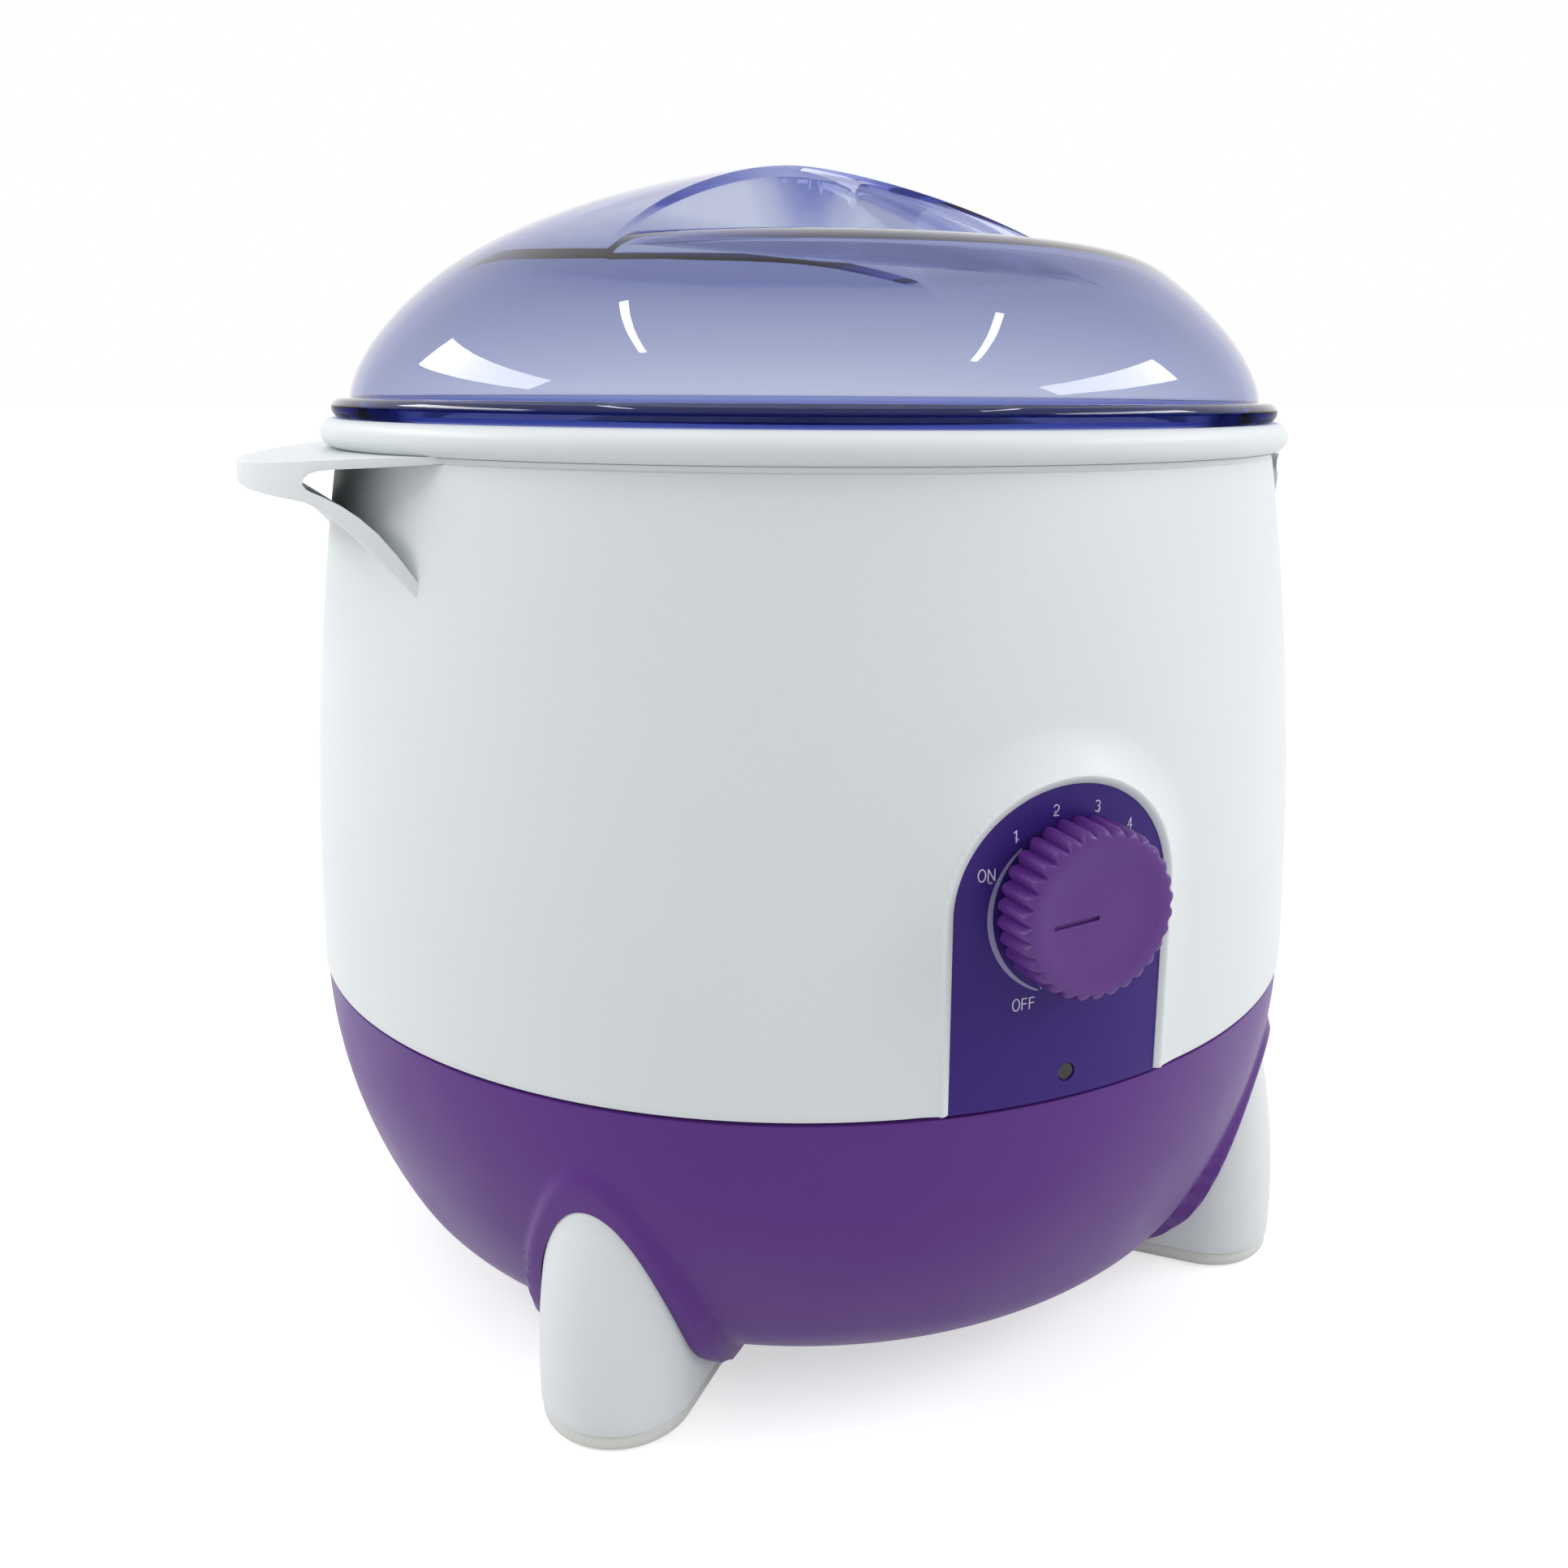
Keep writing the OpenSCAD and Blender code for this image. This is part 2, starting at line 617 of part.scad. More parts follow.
module dial_plate() {
  color(indigo) difference() {
    intersection() {
      arch_block(0, front_in, front_out);
      tube(plate_face_r, plate_back_r, seam_z, wall_top);
    }
    front_rod(bush_r + 1, front_in, front_out, 0, dial_z);
    front_rod(lamp_r + screw_gap, front_in, front_out, lamp_x, lamp_z);
  }
}
module control_knob() {
  rib = 0.5;
  steps = knob_ribs * 8;
  color(knob_purple) difference() {
    translate([0, -knob_back, dial_z]) rotate([90, 0, 0]) linear_extrude(height = knob_l)
      polygon([for (i = [0:steps - 1])
        let (a = 360 * i / steps, r = knob_r - rib + rib * cos(knob_ribs * a))
        [r * cos(a), r * sin(a)]]);
    difference() {
      front_rod(knob_r - 2.6, knob_back - 1, knob_face - 2.2, 0, dial_z);
      front_rod(shaft_r + 2.4, knob_back - 2, knob_face, 0, dial_z);
    }
    front_rod(shaft_r + 0.02, knob_back - 2, knob_face - 2.2, 0, dial_z);
    translate([0, -knob_face, dial_z]) rotate([0, -14, 0]) translate([-knob_r * 0.68, -0.5, -0.35])
      cube([knob_r * 0.6, 1, 0.7]);
  }
}
module thermostat_shaft() {
  color(aluminium) front_rod(shaft_r, bracket_y - 1, knob_face - 2.4, 0, dial_z);
}
module thermostat_body() {
  color(dark) difference() {
    union() {
      translate([-thermostat_w / 2, -bracket_y, dial_z - thermostat_h / 2])
        cube([thermostat_w, thermostat_d, thermostat_h]);
      front_rod(bush_r, bracket_y - 1, plate_back_r - 2, 0, dial_z);
    }
    front_rod(shaft_r + run_gap, bracket_y - 1.4, far, 0, dial_z);
  }
}
module thermostat_bracket() {
  w = bracket_hole_x + 4;
  color(steel) difference() {
    translate([-w, -bracket_y - bracket_t, dial_z - bracket_h / 2]) cube([2 * w, bracket_t, bracket_h]);
    front_rod(bush_r + 0.1, front_in, front_out, 0, dial_z);
    for (x = [-1, 1]) front_rod(1.4 + screw_gap, front_in, front_out, x * bracket_hole_x, dial_z);
  }
}
module bracket_screws() {
  color(steel) for (x = [-1, 1]) {
    front_rod(2.8, bracket_y - 1.8, bracket_y, x * bracket_hole_x, dial_z);
    front_rod(1, bracket_y - 0.5, bracket_y + bracket_screw_l, x * bracket_hole_x, dial_z);
  }
}
module sensor_block() {
  back = bracket_y - thermostat_d;
  color(aluminium) difference() {
    translate([-sensor_w / 2, -back, dial_z - sensor_w / 2])
      cube([sensor_w, back - well_r * cos(7) + 0.5, sensor_w]);
    cylinder(r = well_r + 0.05, h = far);
  }
}
module signal_lamp() {
  color([0.25, 0.1, 0.12]) front_rod(lamp_r, boss_back_r - 5, plate_face_r - 0.3, lamp_x, lamp_z);
}
module lamp_holder() {
  inner = boss_back_r - fit_gap;
  color(dark) difference() {
    translate([lamp_x - 4, -inner, seam_z + 0.6]) cube([8, 8, 9]);
    front_rod(lamp_r + 0.05, inner - 5, far, lamp_x, lamp_z);
  }
}

// ---- wiring -----------------------------------------------------------------

terminal_y = 0.74 * pot_r;
terminal_w = 30;
terminal_d = 14;
terminal_h = 13;
terminal_x = 10;
module terminal_block() {
  color([0.9, 0.9, 0.86]) difference() {
    translate([-terminal_w / 2, terminal_y, floor_z]) cube([terminal_w, terminal_d, terminal_h]);
    for (x = [-terminal_x, 0, terminal_x])
      translate([x, terminal_y + terminal_d / 2, floor_z + 4]) cylinder(r = 2, h = terminal_h, $fn = 48);
  }
}
module cord_bush() {
  wall_y = base_r - 2;
  inside = 9;
  color(dark) translate([0, wall_y, inlet_z]) rotate([-90, 0, 0]) difference() {
    union() {
      translate([0, 0, -inside]) cylinder(r = inlet_r, h = inside + knob_face - wall_y);
      translate([0, 0, 2.6]) cylinder(r = inlet_r + 2.4, h = 2);
      translate([0, 0, -inside]) cylinder(r = inlet_r + 1.8, h = 1.6);
    }
    translate([0, 0, -inside - 1]) cylinder(r = inlet_bore_r, h = far);
  }
}

// A round wire swept along hand-picked points
wire_sides = 8;
function unit(v) = v / norm(v);
function heading(p, i) = unit(p[min(i + 1, len(p) - 1)] - p[max(i - 1, 0)]);
function side_of(d) = unit(cross(d, abs(d[2]) < 0.9 ? [0, 0, 1] : [1, 0, 0]));
module wire(p, r) {
  rings = [for (i = [0:len(p) - 1]) let (d = heading(p, i), s = side_of(d), t = cross(d, s))
    for (k = [0:wire_sides - 1]) p[i] + r * (cos(45 * k) * s + sin(45 * k) * t)];
  n = len(p);
  polyhedron(rings, concat(
    [[for (k = [0:wire_sides - 1]) k]],
    [for (i = [0:n - 2]) for (k = [0:wire_sides - 1]) let (j = (k + 1) % wire_sides)
      [i * wire_sides + j, i * wire_sides + k, (i + 1) * wire_sides + k, (i + 1) * wire_sides + j]],
    [[for (k = [wire_sides - 1:-1:0]) (n - 1) * wire_sides + k]]));
}
wire_end_z = floor_z + terminal_h + 0.5;
wire_in_y = terminal_y + terminal_d / 2;
over_z = leg_top + 10;
thermostat_foot = dial_z - thermostat_h / 2;
thermostat_mid = bracket_y - thermostat_d / 2;
lane_r = leg_screw_at - post_r - 3.4;
// A point of the lane inside the screw posts, at an angle up from +X
function lane(a, z) = [lane_r * cos(a), lane_r * sin(a), z];
element_route = [[-7, element_at, clamp_z - 7.5], [-7, element_at, clamp_z - 8.6],
  [-12, element_at, shield_z + 3.4], [-17.4, element_at, shield_z + 1.6], [-18, element_at, shield_z - 5],
  [-17, element_at + 8, 34], [-terminal_x - 2, wire_in_y - 2, wire_end_z + 5],
  [-terminal_x, wire_in_y, wire_end_z]];
return_route = [for (p = element_route) [-p[0], p[1], p[2]]];
thermostat_route = [[0, wire_in_y, wire_end_z], [0, wire_in_y + 2, wire_end_z + 6], lane(82, leg_top - 8),
  lane(67, leg_top + 5), lane(45, over_z), lane(14, over_z + 2), lane(-14, over_z + 4),
  lane(-45, over_z + 8), lane(-65, over_z + 14), [20, -thermostat_mid, thermostat_foot - 6],
  [8, -thermostat_mid, thermostat_foot - 5], [6, -thermostat_mid, thermostat_foot - 1.6],
  [6, -thermostat_mid, thermostat_foot - 0.4]];
lamp_route = [[lamp_x, 8.7 - boss_back_r, lamp_z], [lamp_x, 9.6 - boss_back_r, lamp_z],
  [lamp_x, 12 - boss_back_r, lamp_z + 5], [-3, 12 - boss_back_r, thermostat_foot - 4],
  [-3, 12 - boss_back_r, thermostat_foot - 0.4]];
module lead_wires() {
  color([0.5, 0.14, 0.12]) {
    wire(element_route, 1.1);
    wire(return_route, 1.1);
    wire(thermostat_route, 1.1);
    wire(lamp_route, 0.9);
  }
}

outer_housing();
top_ring();
lid();
wax_pot();
heating_well();
well_gasket();
insulation_felt();
heating_element();
element_clamp_plate();
clamp_nuts();
thermal_cutout();
heat_shield();
shield_screws();
base_shell();
rotate([0, 0, leg_angles[0]]) leg();  // leg_front_right
rotate([0, 0, leg_angles[1]]) leg();  // leg_back_right
rotate([0, 0, leg_angles[2]]) leg();  // leg_back_left
rotate([0, 0, leg_angles[3]]) leg();  // leg_front_left
rotate([0, 0, leg_angles[0]]) foot_pad();  // foot_pad_front_right
rotate([0, 0, leg_angles[1]]) foot_pad();  // foot_pad_back_right
rotate([0, 0, leg_angles[2]]) foot_pad();  // foot_pad_back_left
rotate([0, 0, leg_angles[3]]) foot_pad();  // foot_pad_front_left
leg_screws();
dial_plate();
control_knob();
thermostat_shaft();
thermostat_body();
thermostat_bracket();
bracket_screws();
sensor_block();
signal_lamp();
lamp_holder();
terminal_block();
cord_bush();
lead_wires();
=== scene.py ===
"""A wax warmer: white housing on a purple bowl with four legs, a tinted lid and a heat dial.

Metres throughout. The origin is on the table under the centre, +Z is up and the dial faces -Y.
"""
import math

import bmesh
import bpy
from mathutils import Matrix, Vector


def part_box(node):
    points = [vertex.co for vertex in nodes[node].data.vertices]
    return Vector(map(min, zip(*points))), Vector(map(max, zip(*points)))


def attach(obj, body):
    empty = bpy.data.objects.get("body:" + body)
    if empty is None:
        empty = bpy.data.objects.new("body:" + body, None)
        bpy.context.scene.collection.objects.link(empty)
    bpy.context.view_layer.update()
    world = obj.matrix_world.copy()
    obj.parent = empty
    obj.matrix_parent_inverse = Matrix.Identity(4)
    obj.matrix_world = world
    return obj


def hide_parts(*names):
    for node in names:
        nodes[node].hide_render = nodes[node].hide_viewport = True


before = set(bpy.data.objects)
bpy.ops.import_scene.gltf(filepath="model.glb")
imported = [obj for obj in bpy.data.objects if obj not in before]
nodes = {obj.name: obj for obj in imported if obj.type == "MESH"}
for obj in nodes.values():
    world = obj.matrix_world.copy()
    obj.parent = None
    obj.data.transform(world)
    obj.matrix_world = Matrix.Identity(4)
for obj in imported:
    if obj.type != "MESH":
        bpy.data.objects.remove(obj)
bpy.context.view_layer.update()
MM = 0.001
TURN = 2 * math.pi

# ---- places read from the frame -------------------------------------------------

ring_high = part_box("top_ring")[1]
plate_low, plate_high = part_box("dial_plate")
knob_low, knob_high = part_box("control_knob")
PAD_H = 3.4 * MM

SEAM_Z = plate_low.z
LAND_Z = ring_high.z
WALL_TOP = LAND_Z - 5.1 * MM
SEAM_R = 110 * MM
WALL_BOW = 640 * MM
SHELL_T = 2.6 * MM
DIAL_Z = (knob_low.z + knob_high.z) / 2
PLATE_R = -plate_low.y
PLATE_W = (plate_high.x - plate_low.x) / 2
LID_BEAD = 2.1 * MM
FLANGE_Z = LAND_Z + 2 * LID_BEAD
RECESS_Z = FLANGE_Z + 29.8 * MM
LID_TURN = math.radians(17.5)
LEG_ANGLES = (-45, 45, 135, -135)
LEG_NAMES = ("front_right", "back_right", "back_left", "front_left")

DOME_R = 97.7 * MM
DOME_H = 48.8 * MM
DOME_POWER = 0.647
DOME_DROP = 1.3 * MM
DOME_DROP_R = 80 * MM
LID_T = 2.2 * MM
RECESS_CROWN = 2.0 * MM
RECESS_R = 71 * MM
SHOULDER = 3.6 * MM
WAIST = 4.6 * MM
FLARE = 0.39
FLARE_SLANT = math.hypot(1, FLARE)
RIDGE_WALL_T = 1.2 * MM
WALL_SOFT = 1.1 * MM
WALL_ZONE = 2.1 * MM
LID_STEPS = 320


# ---- shader nodes as plain expressions ------------------------------------------

class Value:
    """A shader output that takes part in sums, so that maths reads as maths."""

    def __init__(self, finish, socket):
        self.finish = finish
        self.socket = socket

    def _math(self, operation, *others):
        sockets = [getattr(o, "socket", o) for o in others]
        node = self.finish.add("ShaderNodeMath", {"operation": operation}, dict(enumerate(sockets)))
        return Value(self.finish, node.outputs[0])

    def __add__(self, other):
        return self._math("ADD", self, other)

    def __sub__(self, other):
        return self._math("SUBTRACT", self, other)

    def __mul__(self, other):
        return self._math("MULTIPLY", self, other)

    def __truediv__(self, other):
        return self._math("DIVIDE", self, other)

    def __pow__(self, other):
        return self._math("POWER", self, other)

    def __radd__(self, other):
        return self._math("ADD", other, self)

    def __rsub__(self, other):
        return self._math("SUBTRACT", other, self)

    def __rmul__(self, other):
        return self._math("MULTIPLY", other, self)

    def least(self, other):
        return self._math("MINIMUM", self, other)

    def most(self, other):
        return self._math("MAXIMUM", self, other)

    def size(self):
        return self._math("ABSOLUTE", self)

    def ramp(self, low, high, out_low=0.0, out_high=1.0):
        """This value moved from the span low to high onto another span, held at both ends."""
        node = self.finish.add("ShaderNodeMapRange", {"clamp": True},
                               {0: self.socket, 1: low, 2: high, 3: out_low, 4: out_high})
        return Value(self.finish, node.outputs[0])


class Finish:
    """One procedural material."""

    def __init__(self, name, color, roughness, **fixed):
        self.material = bpy.data.materials.new(name)
        self.material.use_nodes = True
        self.tree = self.material.node_tree
        self.shader = self.tree.nodes["Principled BSDF"]
        self.color = (*color, 1.0)
        self.shader.inputs["Base Color"].default_value = self.color
        self.shader.inputs["Roughness"].default_value = roughness
        for socket_name, value in fixed.items():
            self.shader.inputs[socket_name.replace("_", " ")].default_value = value
        self.material.diffuse_color = self.color

    def add(self, kind, settings=None, inputs=None):
        """A node of this kind, with its settings made first and then its inputs set or linked."""
        node = self.tree.nodes.new(kind)
        for name, value in (settings or {}).items():
            if name == "stops":
                while len(node.color_ramp.elements) < len(value):
                    node.color_ramp.elements.new(1.0)
                for element, (at, color) in zip(node.color_ramp.elements, value):
                    element.position = at
                    element.color = (*color, 1.0)
            else:
                setattr(node, name, value)
        for name, value in (inputs or {}).items():
            value = getattr(value, "socket", value)
            if isinstance(value, bpy.types.NodeSocket):
                self.tree.links.new(value, node.inputs[name])
            else:
                node.inputs[name].default_value = value
        return node

    def point(self, scale=(1, 1, 1)):
        """The place on the piece, in metres, stretched by scale."""
        where = self.add("ShaderNodeTexCoord").outputs["Object"]
        return self.add("ShaderNodeMapping", None, {"Vector": where, "Scale": scale}).outputs[0]

    def axes(self):
        """The x, y and z of the place on the piece."""
        where = self.add("ShaderNodeTexCoord").outputs["Object"]
        split = self.add("ShaderNodeSeparateXYZ", None, {0: where})
        return [Value(self, out) for out in split.outputs]

    def grain(self, scale, detail=2.0, stretch=(1, 1, 1), rough=0.5):
        """Noise from 0 to 1 with about scale lumps to the metre."""
        node = self.add("ShaderNodeTexNoise", None, {
            "Vector": self.point(stretch), "Scale": scale, "Detail": detail, "Roughness": rough})
        return Value(self, node.outputs["Fac"])

    def blend_colors(self, amount, first, second):
        """The first color where amount is 0 and the second where it is 1."""
        node = self.add("ShaderNodeMix", {"data_type": "RGBA"}, {0: amount})
        for index, color in ((6, first), (7, second)):
            if isinstance(color, bpy.types.NodeSocket):
                self.tree.links.new(color, node.inputs[index])
            else:
                node.inputs[index].default_value = (*color, 1.0)
        return node.outputs[2]

    def feed(self, name, value):
        self.tree.links.new(getattr(value, "socket", value), self.shader.inputs[name])
        return self

    def bump(self, height, distance, strength=1.0):
        """Relief of the given distance, in metres, where height runs from 0 to 1."""
        node = self.add("ShaderNodeBump", None, {
            "Height": height, "Distance": distance, "Strength": strength})
        return self.feed("Normal", node.outputs[0])


def tone(color, factor):
    return tuple(min(1.0, c * factor) for c in color)


def moulded(name, color, roughness, speckle, texture, **fixed):
    """Moulded plastic: faint clouding, fine speckle and the texture of a spark-eroded mould."""
    finish = Finish(name, color, roughness, **fixed)
    clouds = finish.grain(28, 3.0).ramp(0.3, 0.7)
    specks = finish.grain(3200, 1.0).ramp(0.32, 0.68)
    cloudy = finish.blend_colors(clouds, tone(color, 1 - speckle), tone(color, 1 + speckle))
    specked = finish.blend_colors(specks, tone(color, 1 - 1.6 * speckle), cloudy)
    finish.feed("Base Color", specked)
    finish.feed("Roughness", finish.grain(40, 2.0).ramp(0.3, 0.7, roughness - 0.04, roughness + 0.05))
    finish.bump(finish.grain(2400, 2.0), texture * MM)
    return finish.material


WHITE = moulded("white_plastic_skin", (0.685, 0.720, 0.735), 0.42, 0.018, 0.03, Specular_IOR_Level=0.3)
PURPLE = moulded("purple_plastic_skin", (0.090, 0.020, 0.205), 0.40, 0.05, 0.03, Specular_IOR_Level=0.25)
INDIGO = moulded("indigo_plate_skin", (0.038, 0.016, 0.170), 0.34, 0.05, 0.015, Specular_IOR_Level=0.15)
KNOB = moulded("knob_plastic_skin", (0.083, 0.017, 0.187), 0.40, 0.05, 0.03, Specular_IOR_Level=0.4)
PAD = moulded("foot_pad_skin", (0.66, 0.67, 0.64), 0.62, 0.05, 0.05)
BLACK = moulded("black_plastic_skin", (0.02, 0.02, 0.022), 0.5, 0.08, 0.04)
CREAM = moulded("terminal_block_skin", (0.72, 0.71, 0.66), 0.5, 0.03, 0.03)
SILICONE = moulded("gasket_silicone_skin", (0.62, 0.55, 0.50), 0.6, 0.04, 0.04)
LEAD_RED = moulded("lead_silicone_skin", (0.35, 0.04, 0.03), 0.45, 0.05, 0.03)
PRINT = moulded("dial_print_ink", (0.66, 0.62, 0.80), 0.5, 0.04, 0.01)
MARKS = moulded("dial_marks_ink", (0.27, 0.26, 0.45), 0.5, 0.04, 0.01)


def spun_metal(name, color, roughness):
    """Aluminium with the fine rings that spinning leaves round the axis."""
    finish = Finish(name, color, roughness, Metallic=1.0)
    x, y, z = finish.axes()
    radius = (x * x + y * y) ** 0.5
    rings = finish.add("ShaderNodeTexNoise", {"noise_dimensions": "2D"}, {
        "Vector": finish.add("ShaderNodeCombineXYZ", None, {0: radius, 1: z}).outputs[0],
        "Scale": 1500.0, "Detail": 2.0})
    line = Value(finish, rings.outputs["Fac"])
    smudge = finish.grain(45, 3.0)
    finish.feed("Base Color", finish.blend_colors(smudge.ramp(0.3, 0.7), tone(color, 0.93), color))
    finish.feed("Roughness", (line * 0.10 + smudge * 0.10) + (roughness - 0.1))
    finish.bump(line, 0.02 * MM, 0.6)
    return finish.material


def brushed(name, color, roughness):
    """Sheet steel with a fine rolled grain along X."""
    finish = Finish(name, color, roughness, Metallic=1.0)
    line = finish.grain(900, 2.0, stretch=(0.04, 1, 1))
    finish.feed("Base Color", finish.blend_colors(line, tone(color, 0.85), color))
    finish.feed("Roughness", line.ramp(0.3, 0.7, roughness - 0.06, roughness + 0.08))
    finish.bump(line, 0.01 * MM, 0.5)
    return finish.material


ALUMINIUM = spun_metal("spun_aluminium", (0.66, 0.67, 0.68), 0.30)
STEEL = brushed("zinc_plated_steel", (0.58, 0.59, 0.61), 0.36)


def tinted_clear(name, tint, depth_color, density, roughness, **fixed):
    """Clear plastic that is dyed right through, so that thick and slanting walls look deeper."""
    finish = Finish(name, tint, roughness, **{"Transmission_Weight": 1.0, "IOR": 1.46, **fixed})
    film = finish.grain(60, 3.0)
    finish.feed("Roughness", film.ramp(0.35, 0.75, roughness, roughness + 0.03))
    dye = finish.add("ShaderNodeVolumeAbsorption", None, {"Color": (*depth_color, 1.0), "Density": density})
    finish.tree.links.new(dye.outputs[0], finish.tree.nodes["Material Output"].inputs["Volume"])
    return finish


def lid_plastic():
    """The lid's violet-blue plastic.

    Its base colour has painted light and shade in it: it is painted paler at the dome's foot and in the ridge's
    walls, where light shows through, and painted deeper on the crest and round the flange, where the long path
    through the plastic darkens it. Its outer skin is polished.
    """
    finish = tinted_clear("lid_tinted_plastic", (0.57, 0.60, 0.72), (0.43, 0.49, 0.80), 130.0, 0.02,
                          Transmission_Weight=1.0, IOR=1.03, Coat_Weight=1.0, Coat_IOR=1.4,
                          Coat_Roughness=0.02)
    x, y, z = finish.axes()
    # Painted light: the dome's foot and the ridge are painted paler, standing in for the light that shows
    # through them.
    foot = 1 - z.ramp(FLANGE_Z + 2 * MM, FLANGE_Z + 26 * MM)
    ridge = z.ramp(RECESS_Z + 1 * MM, RECESS_Z + 5 * MM)
    across = (y * math.cos(LID_TURN) - x * math.sin(LID_TURN)).size()
    # Painted shade: the crest is painted deeper blue, standing in for the long path that sight takes through
    # the plastic along the ridge.
    crest = (1 - across.ramp(3.0 * MM, 5.0 * MM)) * z.ramp(RECESS_Z + 4 * MM, RECESS_Z + 7 * MM)
    # Painted light: the pale (0.81, 0.83, 0.88) blended in at the foot and on the ridge.
    color = finish.blend_colors(foot.most(ridge), (0.57, 0.60, 0.72), (0.81, 0.83, 0.88))
    # Painted shade: the deep (0.30, 0.35, 0.64) laid on the crest.
    color = finish.blend_colors(crest, color, (0.30, 0.35, 0.64))
    # Painted shade: the flange and everything below it are painted deeper, (0.40, 0.44, 0.70), standing in for
    # the long path through the plastic there.
    flange = 1 - z.ramp(FLANGE_Z - 0.2 * MM, FLANGE_Z + 0.6 * MM)
    finish.feed("Base Color", finish.blend_colors(flange, color, (0.40, 0.44, 0.70)))
    r = (x * x + y * y) ** 0.5
    part = (r * (1 / DOME_DROP_R)).least(1.0)
    drop = DOME_DROP * (4 * part * (1 - part)) ** 1.5
    dome = FLANGE_Z + DOME_H * (1 - (r * (1 / DOME_R)) ** 2).most(0.0) ** DOME_POWER - drop
    floor = RECESS_Z + RECESS_CROWN * (1 - (r * (1 / RECESS_R)) ** 2)
    over_skin = z - dome.least(floor)
    finish.feed("Coat Weight", over_skin.ramp(-1.75 * MM, -1.35 * MM))
    return finish.material


LAMP_LENS = tinted_clear("lamp_lens", (0.35, 0.33, 0.38), (0.45, 0.30, 0.34), 700.0, 0.08).material


def felt_wool():
    color = (0.62, 0.60, 0.54)
    finish = Finish("grey_felt", color, 0.95)
    fuzz = finish.grain(900, 4.0)
    finish.feed("Base Color", finish.blend_colors(fuzz, tone(color, 0.7), tone(color, 1.15)))
    finish.bump(fuzz, 0.5 * MM)
    return finish.material


FELT = felt_wool()
LID_TINT = lid_plastic()

CAD_FINISH = {
    "outer_housing": WHITE, "top_ring": WHITE, "wax_pot": ALUMINIUM, "heating_well": ALUMINIUM,
    "well_gasket": SILICONE, "insulation_felt": FELT, "heating_element": STEEL,
    "element_clamp_plate": ALUMINIUM, "clamp_nuts": STEEL, "thermal_cutout": BLACK,
    "heat_shield": STEEL, "shield_screws": STEEL, "leg_screws": STEEL, "dial_plate": INDIGO,
    "thermostat_shaft": STEEL, "thermostat_body": BLACK, "thermostat_bracket": STEEL,
    "bracket_screws": STEEL, "sensor_block": ALUMINIUM, "signal_lamp": LAMP_LENS,
    "lamp_holder": BLACK, "terminal_block": CREAM, "cord_bush": BLACK, "lead_wires": LEAD_RED,
    "base_shell": PURPLE, "lid": LID_TINT, "control_knob": KNOB,
}
for corner in LEG_NAMES:
    CAD_FINISH["leg_" + corner] = WHITE
    CAD_FINISH["foot_pad_" + corner] = PAD


def finish_cad_nodes():
    for name, material in CAD_FINISH.items():
        mesh = nodes[name].data
        mesh.materials.clear()
        mesh.materials.append(material)


finish_cad_nodes()


# ---- tools for modelling --------------------------------------------------------

def clear_selection():
    if bpy.context.object and bpy.context.object.mode != "OBJECT":
        bpy.ops.object.mode_set(mode="OBJECT")
    bpy.ops.object.select_all(action="DESELECT")


def pick(piece):
    """Makes this piece the only selected and the active one."""
    clear_selection()
    piece.select_set(True)
    bpy.context.view_layer.objects.active = piece


def outline(name, points, closed=False):
    """An edge chain through these points, as a new piece."""
    mesh = bpy.data.meshes.new(name)
    edges = [(i, i + 1) for i in range(len(points) - 1)]
    if closed:
        edges.append((len(points) - 1, 0))
    mesh.from_pydata([Vector(p) for p in points], edges, [])
    piece = bpy.data.objects.new(name, mesh)
    bpy.context.scene.collection.objects.link(piece)
    return piece


def edit_all(piece):
    pick(piece)
    bpy.ops.object.mode_set(mode="EDIT")
    bpy.ops.mesh.select_all(action="SELECT")


def close_and_face_out():
    """Merges doubles and turns all faces outwards, in edit mode, then leaves it."""
    bpy.ops.mesh.select_all(action="SELECT")
    bpy.ops.mesh.remove_doubles(threshold=0.004 * MM)
    bpy.ops.mesh.normals_make_consistent(inside=False)
    bpy.ops.object.mode_set(mode="OBJECT")


def spun(name, profile, steps, closed=True):
    """A turned piece: the (radius, height) profile spun once round the Z axis."""
    piece = outline(name, [(r, 0, z) for r, z in profile], closed)
    edit_all(piece)
    bpy.ops.mesh.spin(steps=steps, angle=TURN, center=(0, 0, 0), axis=(0, 0, 1))
    close_and_face_out()
    return piece


def modify(piece, kind, **settings):
    """Adds a modifier and applies it."""
    pick(piece)
    modifier = piece.modifiers.new(kind.lower(), kind)
    for name, value in settings.items():
        setattr(modifier, name, value)
    bpy.ops.object.modifier_apply(modifier=modifier.name)


def cut(piece, tool, operation="DIFFERENCE"):
    modify(piece, "BOOLEAN", object=tool, operation=operation, solver="EXACT")
    bpy.data.objects.remove(tool)


def done(piece, material, body, node_names=(), smooth=35):
    """Finishes a piece: smooth shading, its material, its body and what it stands for."""
    pick(piece)
    bpy.ops.object.transform_apply(location=True, rotation=True, scale=True)
    bpy.ops.object.shade_smooth_by_angle(angle=math.radians(smooth))
    piece.data.materials.clear()
    piece.data.materials.append(material)
    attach(piece, body)
    if node_names:
        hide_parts(*node_names)
    clear_selection()
    return piece


def arc(centre, radius, start, end, count):
    """Points of an arc in the (r, z) plane, its angles in degrees up from +r."""
    span = [math.radians(start + (end - start) * i / count) for i in range(count + 1)]
    return [(centre[0] + radius * math.cos(a), centre[1] + radius * math.sin(a)) for a in span]


def fade(x, low, high):
    """0 up to low, 1 from high on, with a soft step between."""
    t = min(1.0, max(0.0, (x - low) / (high - low)))
    return t * t * (3 - 2 * t)


